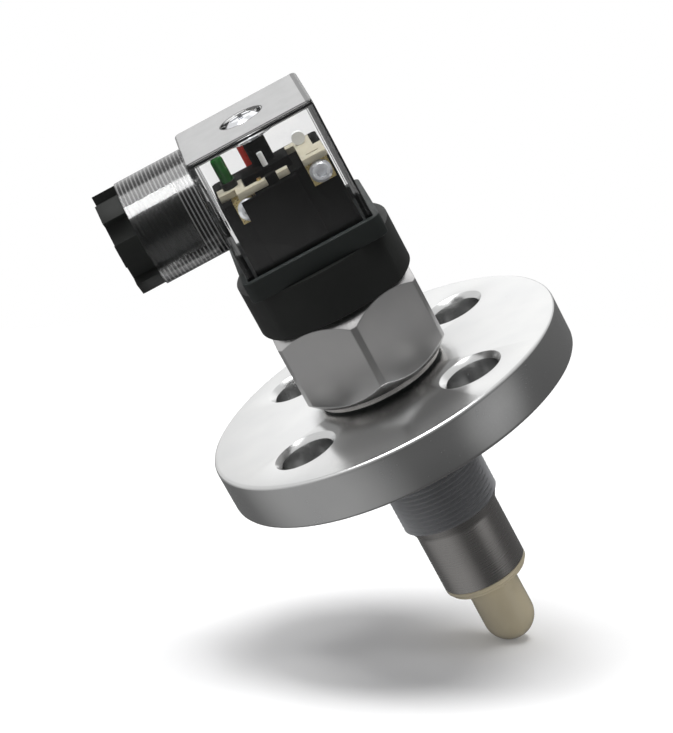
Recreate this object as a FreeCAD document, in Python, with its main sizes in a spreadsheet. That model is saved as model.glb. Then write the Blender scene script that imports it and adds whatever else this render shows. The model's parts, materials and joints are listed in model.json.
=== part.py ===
import FreeCAD, Part
import math
import os
import Sketcher

# A microwave level switch with a bolted process flange, a threaded probe and a clear plug.
# All lengths are millimetres. The frame stands on the flange's underside: +Z runs along the
# probe's axis towards the plug, and the cable entry of the plug points along -X.

SIZES = [
    ("flange_radius", 37.5),
    ("flange_thickness", 9.8),
    ("flange_rim_bevel", 0.7),
    ("bolt_circle_radius", 25.0),
    ("bolt_hole_radius", 5.5),
    ("bolt_hole_chamfer", 1.04),
    ("flange_turn", -5.5),
    ("fit", 0.05),
    ("seal_thickness", 0.4),
    ("seal_radius", 12.7),
    ("collar_radius", 13.1),
    ("collar_height", 1.4),
    ("hex_across", 30.0),
    ("hex_corner_radius", 16.93),
    ("hex_height", 18.4),
    ("hex_top_radius", 14.3),
    ("hex_bottom_radius", 14.1),
    ("neck_radius", 10.6),
    ("relief_radius", 9.7),
    ("relief_height", 1.2),
    ("thread_radius", 10.48),
    ("thread_reach", 21.6),
    ("thread_runout", 2.3),
    ("probe_radius", 8.98),
    ("probe_reach", 38.5),
    ("probe_bore", 7.4),
    ("chamber_bore", 11.0),
    ("chamber_depth", 17.0),
    ("tip_collar", 1.3),
    ("tip_edge", 0.4),
    ("tip_radius", 5.37),
    ("tip_root_round", 1.3),
    ("tip_length", 15.9),
    ("tip_plug_length", 8.5),
    ("slack", 0.02),
    ("overrun", 1.0),
    ("solder_pin_rise", 0.4),
    ("tower_wing", 0.3),
    ("bar_end_run", 0.9),
    ("screw_end_gap", 0.5),
    ("slot_head_room", 0.3),
    ("screw_end_room", 0.2),
    ("ring_section", 0.58),
    ("ring_groove", 1.3),
    ("pin_radius", 1.0),
    ("pin_end_wall", 4.5),
    ("insulator_height", 3.5),
    ("sleeve_wall", 0.8),
    ("board_gap", 1.5),
    ("board_width", 14.0),
    ("board_thickness", 1.6),
    ("board_head_room", 3.0),
    ("chip_spacing", 2.0),
    ("can_width", 9.0),
    ("can_height", 2.6),
    ("can_length", 14.0),
    ("module_width", 8.0),
    ("module_height", 3.4),
    ("module_length", 12.0),
    ("base_height", 10.0),
    ("base_side_offset", 5.28),
    ("base_corner", 12.38),
    ("base_spigot_depth", 3.5),
    ("base_spigot_wall", 1.45),
    ("base_cavity_depth", 3.2),
    ("base_ring_section", 0.5),
    ("base_ring_groove", 1.2),
    ("blade_width", 6.3),
    ("blade_thickness", 0.8),
    ("blade_spread", 8.5),
    ("blade_spread_front", 8.2),
    ("blade_tail", 1.6),
    ("blade_reach", 11.0),
    ("blade_bevel", 1.2),
    ("nut_radius", 2.9),
    ("nut_height", 5.9),
    ("screw_radius", 1.45),
    ("screw_bore", 1.75),
    ("gasket_half", 14.6),
    ("gasket_corner", 2.0),
    ("gasket_web", 1.3),
    ("gasket_height", 4.15),
    ("hood_half_x", 13.35),
    ("hood_half_y", 12.9),
    ("hood_height", 28.35),
    ("hood_wall", 1.35),
    ("hood_top_wall", 1.5),
    ("hood_side_round", 1.1),
    ("hood_top_round", 0.6),
    ("recess_radius", 4.375),
    ("recess_depth", 2.0),
    ("boss_radius", 5.6),
    ("boss_floor", 1.5),
    ("head_radius", 3.7),
    ("head_height", 1.9),
    ("head_slot_clear", 0.1),
    ("screw_seal_inset", 0.3),
    ("head_slot_width", 0.9),
    ("head_slot_length", 4.4),
    ("washer_height", 0.5),
    ("tube_radius", 10.8),
    ("tube_reach", 14.05),
    ("tube_drop", 10.8),
    ("tube_bore", 9.3),
    ("entry_hole", 7.6),
    ("gland_head_radius", 10.7),
    ("gland_head_length", 4.9),
    ("gland_land_step", 1.8),
    ("gland_lead_in", 1.0),
    ("gland_seat", 0.05),
    ("gland_stem_length", 10.4),
    ("gland_cavity", 7.1),
    ("gland_floor", 2.4),
    ("gland_mouth", 5.2),
    ("gland_washer_height", 0.8),
    ("gland_washer_bore", 4.8),
    ("gland_gap", 0.1),
    ("grommet_length", 11.4),
    ("cable_radius", 3.5),
    ("insert_half_x", 11.4),
    ("insert_half_y", 9.6),
    ("insert_height", 16.85),
    ("insert_corner", 1.0),
    ("front_block_left", 7.4),
    ("front_block_right", 4.4),
    ("front_block_reach", 1.6),
    ("front_block_drop", 0.3),
    ("back_block_half", 5.0),
    ("back_block_height", 11.1),
    ("tower_left", 5.2),
    ("tower_right", 4.6),
    ("tower_front", 5.0),
    ("tower_back", 1.9),
    ("tower_height", 2.0),
    ("column_radius", 2.25),
    ("column_height", 6.8),
    ("clamp_left_x", 6.6),
    ("clamp_right_x", 8.65),
    ("clamp_width", 4.6),
    ("clamp_height", 4.6),
    ("clamp_depth", 6.2),
    ("socket_thickness", 2.4),
    ("socket_width", 6.8),
    ("socket_foot", 1.7),
    ("front_socket_height", 13.4),
    ("solder_pin_radius", 0.45),
    ("solder_pin_offset", 2.4),
    ("solder_pin_length", 4.2),
    ("wire_hole_radius", 1.1),
    ("wire_hole_back", 1.7),
    ("clamp_screw_radius", 1.2),
    ("clamp_screw_length", 3.2),
    ("clamp_head_radius", 2.2),
    ("clamp_head_height", 1.1),
    ("clamp_key", 2.0),
    ("clamp_key_depth", 0.8),
    ("carrier_thickness", 1.3),
    ("carrier_strip_front", 10.0),
    ("carrier_strip_depth", 2.0),
    ("carrier_strip_right", 3.4),
    ("carrier_left", 10.8),
    ("carrier_left_front", 6.0),
    ("carrier_left_back", 1.3),
    ("carrier_right", 11.3),
    ("carrier_right_front", 10.6),
    ("carrier_right_back", 3.5),
    ("carrier_right_inner", 6.3),
    ("carrier_bar_left", -4.0),
    ("carrier_bar_right", 8.8),
    ("carrier_bar_front", 2.35),
    ("carrier_bar_back", 4.6),
    ("carrier_slot_width", 0.7),
    ("carrier_slot_length", 2.6),
    ("carrier_slot_front", 8.4),
    ("lamp_x", -7.9),
    ("lamp_y", -3.2),
    ("lamp_radius", 1.25),
    ("lamp_length", 7.0),
    ("lamp_cup_wall", 0.3),
    ("lamp_cup_height", 1.4),
    ("fuse_x", -2.6),
    ("fuse_y", 3.5),
    ("fuse_radius", 0.95),
    ("fuse_head_room", 0.85),
    ("resistor_x", -0.1),
    ("resistor_y", -3.5),
    ("resistor_radius", 0.55),
    ("resistor_length", 2.8),
    ("disc_x", 7.8),
    ("disc_y", 0.2),
    ("disc_radius", 1.3),
    ("disc_thickness", 1.1),
    ("lead_radius", 0.45),
    ("lead_offset", 4.5),
    ("lead_bend", 0.8),
    ("lead_lean", 70.0),
]


class Size:
    """A length that holds its value and the formula that the sheet's cells give it."""

    def __init__(self, text, value):
        self.text = text
        self.value = value

    def join(self, sign, other, value):
        return Size("(" + self.text + " " + sign + " " + other.text + ")", value)

    def __add__(self, other):
        other = size(other)
        return self.join("+", other, self.value + other.value)

    def __sub__(self, other):
        other = size(other)
        return self.join("-", other, self.value - other.value)

    def __mul__(self, other):
        other = size(other)
        return self.join("*", other, self.value * other.value)

    def __truediv__(self, other):
        other = size(other)
        return self.join("/", other, self.value / other.value)

    def __radd__(self, other):
        return size(other) + self

    def __rsub__(self, other):
        return size(other) - self

    def __rmul__(self, other):
        return size(other) * self

    def __neg__(self):
        return size(0) - self


def size(number):
    """A plain number as a length."""
    if isinstance(number, Size):
        return number
    return Size(repr(float(number)), float(number))


doc = FreeCAD.newDocument("LevelSwitch")
sheet = doc.addObject("Spreadsheet::Sheet", "Sizes")
values = {}
for row, (alias, value) in enumerate(SIZES, 1):
    sheet.set("A" + str(row), alias)
    sheet.set("B" + str(row), str(value))
    sheet.setAlias("B" + str(row), alias)
    values[alias] = value
doc.recompute()
pieces = []


def s(alias):
    """The size of that name in the sheet."""
    return Size("Sizes." + alias, values[alias])


def bind(thing, name, length):
    """Ties one property of an object to a size."""
    thing.setExpression(name, size(length).text)


def new_body(label):
    """An empty solid of its own, to which features are added."""
    body = doc.addObject("PartDesign::Body", label)
    body.Label = label
    pieces.append(body)
    return body


def origin_plane(body, role):
    return [plane for plane in body.Origin.OriginFeatures if plane.Role == role][0]


def new_sketch(body, role, offset=0):
    """A sketch on one of the body's own planes, moved along the plane's normal."""
    sketch = body.newObject("Sketcher::SketchObject", body.Name + "_sketch")
    sketch.AttachmentSupport = [(origin_plane(body, role), "")]
    sketch.MapMode = "FlatFace"
    bind(sketch, "AttachmentOffset.Base.z", offset)
    return sketch


def pin_point(sketch, index, place, x, y):
    """Holds a point of the sketch at a distance from its origin, one or both ways."""
    for kind, length in (("DistanceX", x), ("DistanceY", y)):
        if length is not None:
            length = size(length)
            rule = Sketcher.Constraint(kind, -1, 1, index, place, length.value)
            number = sketch.addConstraint(rule)
            sketch.setExpression("Constraints[" + str(number) + "]", length.text)


def vector(x, y):
    return FreeCAD.Vector(size(x).value, size(y).value, 0)


def draw_loop(sketch, points, arcs=None):
    """A closed loop. An arc is given at its first point as its centre and its turning sense."""
    arcs = arcs or {}
    first = sketch.GeometryCount
    count = len(points)
    for i, point in enumerate(points):
        start = vector(*point)
        end = vector(*points[(i + 1) % count])
        if i not in arcs:
            sketch.addGeometry(Part.LineSegment(start, end), False)
            continue
        centre, turn = vector(*arcs[i][:2]), arcs[i][2]
        a = math.atan2(start.y - centre.y, start.x - centre.x)
        b = math.atan2(end.y - centre.y, end.x - centre.x)
        circle = Part.Circle(centre, FreeCAD.Vector(0, 0, 1), start.distanceToPoint(centre))
        low, high = (a, b) if turn > 0 else (b, a)
        if high < low:
            high += 2 * math.pi
        sketch.addGeometry(Part.ArcOfCircle(circle, low, high), False)
    for i, point in enumerate(points):
        after = (i + 1) % count
        end_place = 1 if i in arcs and arcs[i][2] < 0 else 2
        start_place = 2 if after in arcs and arcs[after][2] < 0 else 1
        rule = Sketcher.Constraint("Coincident", first + i, end_place, first + after, start_place)
        sketch.addConstraint(rule)
    for i, point in enumerate(points):
        place = 2 if i in arcs and arcs[i][2] < 0 else 1
        pin_point(sketch, first + i, place, *point)
        if i in arcs:
            held = arcs[i][3]
            x, y = arcs[i][:2]
            pin_point(sketch, first + i, 3, x if held == "x" else None, y if held == "y" else None)


def draw_circle(sketch, radius, x=0, y=0):
    radius = size(radius)
    index = sketch.GeometryCount
    sketch.addGeometry(Part.Circle(vector(x, y), FreeCAD.Vector(0, 0, 1), radius.value), False)
    pin_point(sketch, index, 3, x, y)
    number = sketch.addConstraint(Sketcher.Constraint("Radius", index, radius.value))
    sketch.setExpression("Constraints[" + str(number) + "]", radius.text)


def rectangle(x0, y0, x1, y1):
    return [(x0, y0), (x1, y0), (x1, y1), (x0, y1)]


def feature(body, kind, sketch, length=None, reverse=False, symmetric=False):
    """A pad or a pocket of a sketch."""
    made = body.newObject("PartDesign::" + kind, body.Name + "_" + kind.lower())
    made.Profile = sketch
    made.Reversed = reverse
    if symmetric:
        made.SideType = "Symmetric"
    bind(made, "Length", length)
    return made


def pad(body, role, offset, length, loop=None, circle=None, arcs=None, **options):
    sketch = new_sketch(body, role, offset)
    if loop:
        draw_loop(sketch, loop, arcs)
    if circle:
        draw_circle(sketch, *circle)
    return feature(body, "Pad", sketch, length, **options)


def pocket(body, role, offset, length, loops=(), circles=(), **options):
    sketch = new_sketch(body, role, offset)
    for loop in loops:
        draw_loop(sketch, loop)
    for circle in circles:
        draw_circle(sketch, *circle)
    return feature(body, "Pocket", sketch, length, **options)


def turn(body, points, arcs=None, axis="V_Axis", kind="Revolution"):
    """A profile in the XZ plane, turned about the upright axis or about the X axis."""
    sketch = new_sketch(body, "XZ_Plane")
    draw_loop(sketch, points, arcs)
    made = body.newObject("PartDesign::" + kind, body.Name + "_turned")
    made.Profile = sketch
    made.ReferenceAxis = (sketch, [axis])
    made.Angle = 360
    return made


def dress(body, kind, amount, wanted):
    """Rounds or bevels the edges of the body that the test picks."""
    doc.recompute()
    tip = body.Tip
    names = ["Edge" + str(i + 1) for i, edge in enumerate(tip.Shape.Edges) if wanted(edge)]
    made = body.newObject("PartDesign::" + kind, body.Name + "_" + kind.lower())
    made.Base = (tip, names)
    bind(made, "Radius" if kind == "Fillet" else "Size", amount)
    return made


def upright(edge):
    low, high = edge.BoundBox.ZMin, edge.BoundBox.ZMax
    straight = isinstance(edge.Curve, Part.Line)
    return straight and abs(edge.tangentAt(edge.FirstParameter).z) > 0.999 and high > low


def flat_at(edge, height):
    box = edge.BoundBox
    return abs(box.ZMin - size(height).value) < 1e-4 and abs(box.ZMax - size(height).value) < 1e-4


def ring(label, inner, outer, low, high, axis="V_Axis"):
    """A plain turned ring or bush."""
    body = new_body(label)
    if axis == "V_Axis":
        turn(body, [(inner, low), (outer, low), (outer, high), (inner, high)])
    else:
        turn(body, [(low, inner), (high, inner), (high, outer), (low, outer)], axis=axis)
    return body


def box(name, x0, y0, z0, x1, y1, z1):
    """A block between two corners."""
    made = doc.addObject("Part::Box", name)
    for prop, low, high in (("Length", x0, x1), ("Width", y0, y1), ("Height", z0, z1)):
        bind(made, prop, size(high) - low)
    for letter, low in (("x", x0), ("y", y0), ("z", z0)):
        bind(made, "Placement.Base." + letter, low)
    return made


def rod(name, radius, x, y, z, length, along="Z"):
    """A round bar from a point, along one axis."""
    made = doc.addObject("Part::Cylinder", name)
    bind(made, "Radius", radius)
    bind(made, "Height", length)
    tilt = {"Z": (0, 0, 1, 0), "Y": (1, 0, 0, -90), "-Y": (1, 0, 0, 90), "X": (0, 1, 0, 90)}[along]
    made.Placement.Rotation = FreeCAD.Rotation(FreeCAD.Vector(*tilt[:3]), tilt[3])
    for letter, low in (("x", x), ("y", y), ("z", z)):
        bind(made, "Placement.Base." + letter, low)
    return made


def keep(thing, label):
    """Names a finished solid."""
    thing.Label = label
    pieces.append(thing)
    return thing


def fuse(name, shapes):
    made = doc.addObject("Part::MultiFuse", name)
    made.Shapes = shapes
    return made


def cut(name, base, tools):
    """Takes each tool away from the base in turn."""
    for i, tool in enumerate(tools):
        made = doc.addObject("Part::Cut", name + str(i + 1))
        made.Base = base
        made.Tool = tool
        base = made
    return base


# Shares of a screw head's height and radius, and the gland nut's lands
RIM_SHARE = 0.45
HEAD_RIM_SHARE = 0.4
CROWN_SHARE = 0.62
CROWN_RISE = 0.88
SLOT_SHARE = 0.6
LANDS = 7
FIRST_LAND = math.radians(112)
HEX_COS = math.cos(math.pi / 6)

# Levels along the axis, from the probe's end up to the plug's top
collar_low = s("flange_thickness") + s("seal_thickness")
hex_low = collar_low + s("collar_height")
hex_top = hex_low + s("hex_height")
base_top = hex_top + s("base_height")
gasket_floor = base_top + s("gasket_web")
gasket_top = base_top + s("gasket_height")
hood_top = gasket_floor + s("hood_height")
hood_ceiling = hood_top - s("hood_top_wall")
recess_floor = hood_top - s("recess_depth")
boss_low = recess_floor - s("boss_floor")
insert_low = gasket_floor + s("fit")
insert_top = insert_low + s("insert_height")
carrier_top = insert_top + s("carrier_thickness")
tip_low = -s("probe_reach")
plug_top = tip_low + s("tip_plug_length")
insulator_top = plug_top + s("insulator_height")
board_low = insulator_top + s("board_gap")
board_top = hex_top - s("board_head_room")
tube_height = hood_top - s("tube_drop")
tube_mouth = -(s("hood_half_x") + s("tube_reach"))
hood_inner_x = s("hood_half_x") - s("hood_wall")
hood_inner_y = s("hood_half_y") - s("hood_wall")


# Flange: a turned disc with bevelled rims and four countersunk bolt holes
flange = new_body("flange")
turn(flange, [
    (s("neck_radius") + s("fit"), 0),
    (s("flange_radius"), 0),
    (s("flange_radius"), s("flange_thickness")),
    (s("neck_radius") + s("fit"), s("flange_thickness")),
])
rim = s("flange_radius")
dress(flange, "Chamfer", s("flange_rim_bevel"), lambda edge: edge.BoundBox.XMax > rim.value - 1e-3
      and abs(edge.BoundBox.ZLength) < 1e-4)
hole = new_sketch(flange, "XZ_Plane")
near = s("bolt_circle_radius")
wall = near + s("bolt_hole_radius")
mouth = wall + s("bolt_hole_chamfer")
draw_loop(hole, [
    (near, 0),
    (wall, 0),
    (wall, s("flange_thickness") - s("bolt_hole_chamfer")),
    (mouth, s("flange_thickness")),
    (near, s("flange_thickness")),
])
axis_line = hole.GeometryCount
hole.addGeometry(Part.LineSegment(vector(near, -1), vector(near, 1)), True)
pin_point(hole, axis_line, 1, near, -1)
pin_point(hole, axis_line, 2, near, 1)
drilled = flange.newObject("PartDesign::Groove", "flange_hole")
drilled.Profile = hole
drilled.ReferenceAxis = (hole, ["Axis0"])
drilled.Angle = 360
around = flange.newObject("PartDesign::PolarPattern", "flange_holes")
around.Originals = [drilled]
around.Axis = (origin_plane(flange, "Z_Axis"), [""])
around.Angle = 360
around.Occurrences = 4
flange.Tip = around
flange.Placement.Rotation = FreeCAD.Rotation(FreeCAD.Vector(0, 0, 1), 45 + values["flange_turn"])
bind(flange, "Placement.Rotation.Angle", 45 + s("flange_turn"))

ring("flange_seal", s("neck_radius") + s("fit"), s("seal_radius"), s("flange_thickness"), collar_low)

# Sensor body: hexagon, collar, male thread and probe tube turned from one bar and bored hollow
sensor = new_body("sensor_body")
corner = s("hex_corner_radius")
turn(sensor, [
    (s("chamber_bore"), hex_top),
    (s("hex_top_radius"), hex_top),
    (corner, hex_top - (corner - s("hex_top_radius"))),
    (corner, hex_low + (corner - s("hex_bottom_radius"))),
    (s("hex_bottom_radius"), hex_low),
    (s("collar_radius"), hex_low),
    (s("collar_radius"), collar_low),
    (s("neck_radius"), collar_low),
    (s("neck_radius"), 0),
    (s("relief_radius"), 0),
    (s("relief_radius"), -s("relief_height")),
    (s("thread_radius"), -s("relief_height")),
    (s("thread_radius"), -s("thread_reach")),
    (s("probe_radius"), -(s("thread_reach") + s("thread_runout"))),
    (s("probe_radius"), tip_low),
    (s("probe_bore"), tip_low),
    (s("probe_bore"), hex_top - s("chamber_depth")),
    (s("chamber_bore"), hex_top - s("chamber_depth")),
])
hex_reach = s("hex_across") / 2 / HEX_COS
hexagon = []
for k in range(6):
    angle = math.radians(60 * k - 90)
    hexagon.append((hex_reach * round(math.cos(angle), 9), hex_reach * round(math.sin(angle), 9)))
flats = new_sketch(sensor, "XY_Plane", hex_top)
draw_loop(flats, hexagon)
draw_circle(flats, hex_reach + 2)
feature(sensor, "Pocket", flats, hex_top - hex_low)

# Probe tip: a turned cap with a collar, a slim rounded nose and a plug that seals in the tube
tip = new_body("probe_tip")
plug = s("probe_bore") - s("fit")
groove_mid = tip_low + s("tip_plug_length") / 2
ring_inner = s("probe_bore") - s("ring_section") * 2
nose_root = tip_low - s("tip_collar")
nose_end = tip_low - s("tip_length")
pin_low = nose_end + s("pin_end_wall")
turn(tip, [
    (0, nose_end),
    (s("tip_radius"), nose_end + s("tip_radius")),
    (s("tip_radius"), nose_root - s("tip_root_round")),
    (s("tip_radius") + s("tip_root_round"), nose_root),
    (s("probe_radius") - s("tip_edge"), nose_root),
    (s("probe_radius"), nose_root + s("tip_edge")),
    (s("probe_radius"), tip_low),
    (plug, tip_low),
    (plug, groove_mid - s("ring_groove") / 2),
    (ring_inner - s("slack") * 2, groove_mid - s("ring_groove") / 2),
    (ring_inner - s("slack") * 2, groove_mid + s("ring_groove") / 2),
    (plug, groove_mid + s("ring_groove") / 2),
    (plug, plug_top),
    (s("pin_radius") + s("fit"), plug_top),
    (s("pin_radius") + s("fit"), pin_low),
    (0, pin_low),
], arcs={
    0: (0, nose_end + s("tip_radius"), 1, "x"),
    2: (s("tip_radius") + s("tip_root_round"), nose_root - s("tip_root_round"), -1, "x"),
})

ring("tip_seal_ring", ring_inner - s("slack"), s("probe_bore") - s("slack"),
     groove_mid - s("ring_section"), groove_mid + s("ring_section"))

# Antenna pin in the nose, with the disc that centres it
pin = rod("antenna", s("pin_radius"), 0, 0, pin_low, board_low - pin_low)
keep(pin, "antenna_pin")
ring("antenna_insulator", s("pin_radius") + s("fit"), plug, plug_top, insulator_top)

# Electronics: an insulating sleeve in the bore and the long board in its two slots
sleeve_inner = plug - s("sleeve_wall")
sleeve_top = hex_top - s("chamber_depth")
half_board = s("board_width") / 2
half_thick = s("board_thickness") / 2
slot_side = s("fit") / 2
tube_out = rod("sleeve_outside", plug, 0, 0, insulator_top, sleeve_top - insulator_top)
tube_in = rod("sleeve_inside", sleeve_inner, 0, 0, insulator_top, sleeve_top - insulator_top)
slot = box("sleeve_slot", -(half_board + slot_side), -(half_thick + slot_side), board_low,
           half_board + slot_side, half_thick + slot_side, sleeve_top)
keep(cut("sleeve", tube_out, [tube_in, slot]), "board_sleeve")
keep(box("board", -half_board, -half_thick, board_low, half_board, half_thick, board_top),
     "circuit_board")
can_low = board_low + s("chip_spacing")
keep(box("can", -s("can_width") / 2, half_thick, can_low,
         s("can_width") / 2, half_thick + s("can_height"), can_low + s("can_length")),
     "oscillator_can")
module_low = can_low + s("can_length") + s("chip_spacing")
keep(box("module", -s("module_width") / 2, -(half_thick + s("module_height")), module_low,
         s("module_width") / 2, -half_thick, module_low + s("module_length")),
     "output_module")

# Connector base: a moulded block with bulged sides, a round spigot and a well for the wiring
base = new_body("connector_base")
off = s("base_side_offset")
edge_at = s("base_corner")
pad(base, "XY_Plane", hex_top, s("base_height"), loop=[
    (-edge_at, -edge_at), (edge_at, -edge_at), (edge_at, edge_at), (-edge_at, edge_at),
], arcs={0: (0, off, 1, "y"), 1: (-off, 0, 1, "x"), 2: (0, -off, 1, "y"), 3: (off, 0, 1, "x")})
spigot = s("chamber_bore") - s("fit")
spigot_low = hex_top - s("base_spigot_depth")
ring_mid = hex_top - s("base_spigot_depth") / 2
ring_inner = s("chamber_bore") - s("base_ring_section") * 2
turn(base, [
    (0, spigot_low),
    (spigot, spigot_low),
    (spigot, ring_mid - s("base_ring_groove") / 2),
    (ring_inner - s("slack") * 2, ring_mid - s("base_ring_groove") / 2),
    (ring_inner - s("slack") * 2, ring_mid + s("base_ring_groove") / 2),
    (spigot, ring_mid + s("base_ring_groove") / 2),
    (spigot, hex_top + 1),
    (0, hex_top + 1),
])
cavity = spigot - s("base_spigot_wall")
cavity_top = hex_top + s("base_cavity_depth")
pocket(base, "XY_Plane", spigot_low, cavity_top - spigot_low, circles=[(cavity,)], reverse=True)
nut_low = base_top - s("nut_height")
spread_x = s("blade_spread")
spread_y = s("blade_spread_front")
half_wide = s("blade_width") / 2 + s("slack")
half_thin = s("blade_thickness") / 2 + s("slack")


def blade_slots(wide, thin):
    """The four slots in plan: two across the X axis and two across the Y axis."""
    return [
        rectangle(-spread_x - thin, -wide, -spread_x + thin, wide),
        rectangle(spread_x - thin, -wide, spread_x + thin, wide),
        rectangle(-wide, -spread_y - thin, wide, -spread_y + thin),
        rectangle(-wide, spread_y - thin, wide, spread_y + thin),
    ]


pocket(base, "XY_Plane", base_top, base_top - cavity_top + s("overrun"),
       loops=blade_slots(half_wide, half_thin))
pocket(base, "XY_Plane", base_top, s("nut_height"), circles=[(s("nut_radius") + s("fit") / 2,)])

ring("base_seal_ring", ring_inner - s("slack"), s("chamber_bore") - s("slack"),
     ring_mid - s("base_ring_section"), ring_mid + s("base_ring_section"))

ring("threaded_nut", s("screw_radius") + s("fit"), s("nut_radius"), nut_low, base_top)

# Contact blades: flat bars with a bevelled point, two across X and two across Y
blade_low = cavity_top - s("blade_tail")
blade_top = base_top + s("blade_reach")
BLADES = [
    ("contact_blade_1", -spread_x, 0, 0),
    ("contact_blade_2", spread_x, 0, 0),
    ("contact_blade_3", 0, -spread_y, 90),
    ("earth_blade", 0, spread_y, 90),
]
for label, x, y, angle in BLADES:
    blade = new_body(label)
    half = s("blade_width") / 2
    pad(blade, "YZ_Plane", 0, s("blade_thickness"), symmetric=True, loop=[
        (-half, blade_low),
        (half, blade_low),
        (half, blade_top - s("blade_bevel")),
        (half - s("blade_bevel"), blade_top),
        (-half + s("blade_bevel"), blade_top),
        (-half, blade_top - s("blade_bevel")),
    ])
    blade.Placement.Rotation = FreeCAD.Rotation(FreeCAD.Vector(0, 0, 1), angle)
    bind(blade, "Placement.Base.x", x)
    bind(blade, "Placement.Base.y", y)

# Profile gasket: a flat web with a raised lip round the hood's foot
gasket = new_body("profile_gasket")
half = s("gasket_half")
pad(gasket, "XY_Plane", base_top, s("gasket_height"), loop=rectangle(-half, -half, half, half))
dress(gasket, "Fillet", s("gasket_corner"), upright)
foot_x = s("hood_half_x") + s("fit")
foot_y = s("hood_half_y") + s("fit")
pocket(gasket, "XY_Plane", gasket_top, s("gasket_height") - s("gasket_web"),
       loops=[rectangle(-foot_x, -foot_y, foot_x, foot_y)])
pocket(gasket, "XY_Plane", gasket_floor, s("gasket_web") + s("overrun"),
       loops=blade_slots(half_wide + s("fit"), half_thin + s("fit")), circles=[(s("screw_bore"),)])

# Hood: a clear moulded box, open below, with a round cable tube on its side
hood = new_body("hood")
pad(hood, "XY_Plane", gasket_floor, s("hood_height"),
    loop=rectangle(-s("hood_half_x"), -s("hood_half_y"), s("hood_half_x"), s("hood_half_y")))
dress(hood, "Fillet", s("hood_side_round"), upright)
dress(hood, "Fillet", s("hood_top_round"), lambda edge: flat_at(edge, hood_top))
pad(hood, "YZ_Plane", tube_mouth, s("tube_reach") + s("hood_wall") / 2,
    circle=(s("tube_radius"), 0, tube_height))
pocket(hood, "XY_Plane", gasket_floor, hood_ceiling - gasket_floor, reverse=True,
       loops=[rectangle(-hood_inner_x, -hood_inner_y, hood_inner_x, hood_inner_y)])
pocket(hood, "YZ_Plane", tube_mouth, s("tube_reach"), reverse=True,
       circles=[(s("tube_bore"), 0, tube_height)])
pocket(hood, "YZ_Plane", tube_mouth, s("tube_reach") + s("hood_wall") + s("overrun"), reverse=True,
       circles=[(s("entry_hole"), 0, tube_height)])
pad(hood, "XY_Plane", boss_low, hood_top - boss_low - s("hood_top_wall") / 2,
    circle=(s("boss_radius"),))
pocket(hood, "XY_Plane", hood_top, s("recess_depth"), circles=[(s("recess_radius"),)])
pocket(hood, "XY_Plane", hood_top, hood_top - boss_low + s("overrun"), circles=[(s("screw_bore"),)])

# Contact insert: a black moulded block with pockets for the terminals and a tall screw column
insert = new_body("contact_insert")
face_x = s("insert_half_x")
face_y = s("insert_half_y")
pad(insert, "XY_Plane", insert_low, s("insert_height"),
    loop=rectangle(-face_x, -face_y, face_x, face_y))
dress(insert, "Fillet", s("insert_corner"), upright)
pad(insert, "XY_Plane", insert_low, s("insert_height") - s("front_block_drop"),
    loop=rectangle(-s("front_block_left"), -face_y - s("front_block_reach"),
                   s("front_block_right"), -face_y + 0.5))
relief = s("clamp_head_height") + s("fit")
screw_level = insert_top - s("clamp_height") / 2 - s("fit")
pocket(insert, "XZ_Plane", face_y + relief, relief,
       circles=[(s("clamp_head_radius") + s("fit") * 2, -s("clamp_left_x"), screw_level)])
pad(insert, "XY_Plane", insert_low, s("back_block_height"),
    loop=rectangle(-s("back_block_half"), face_y - 0.5,
                   s("back_block_half"), face_y + s("front_block_reach")))
pad(insert, "XY_Plane", insert_low, s("insert_height") + s("tower_height"),
    loop=rectangle(-s("tower_left"), -s("tower_front"), s("tower_right"), s("tower_back")))
pad(insert, "XY_Plane", insert_low, s("insert_height") + s("column_height"),
    circle=(s("column_radius"),))
clamp_low = insert_top - s("clamp_height") - s("fit") * 2
half_clamp = s("clamp_width") / 2 + s("fit")
clamp_back = -face_y + s("clamp_depth") + s("fit")
half_socket = s("socket_width") / 2 + s("fit")
thin_socket = s("socket_thickness") / 2 + s("fit")
top_wells = [
    rectangle(-s("clamp_left_x") - half_clamp, -face_y - 1, -s("clamp_left_x") + half_clamp, clamp_back),
    rectangle(s("clamp_right_x") - half_clamp, -face_y - 1, s("clamp_right_x") + half_clamp, clamp_back),
    rectangle(-half_clamp, spread_y - s("clamp_depth") + thin_socket, half_clamp, face_y + 2),
]
pocket(insert, "XY_Plane", insert_top, insert_top - clamp_low, loops=top_wells)
wells = [
    rectangle(-spread_x - thin_socket, -half_socket, -spread_x + thin_socket, half_socket),
    rectangle(spread_x - thin_socket, -half_socket, spread_x + thin_socket, half_socket),
    rectangle(-half_socket, -spread_y - thin_socket, half_socket, -spread_y + thin_socket),
    rectangle(-half_socket, spread_y - thin_socket, half_socket, spread_y + thin_socket),
]
pocket(insert, "XY_Plane", insert_top, s("insert_height") + s("overrun"), loops=wells)
pocket(insert, "XY_Plane", insert_top + s("column_height"),
       s("insert_height") + s("column_height") + s("overrun"),
       circles=[(s("screw_bore"),)])


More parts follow.
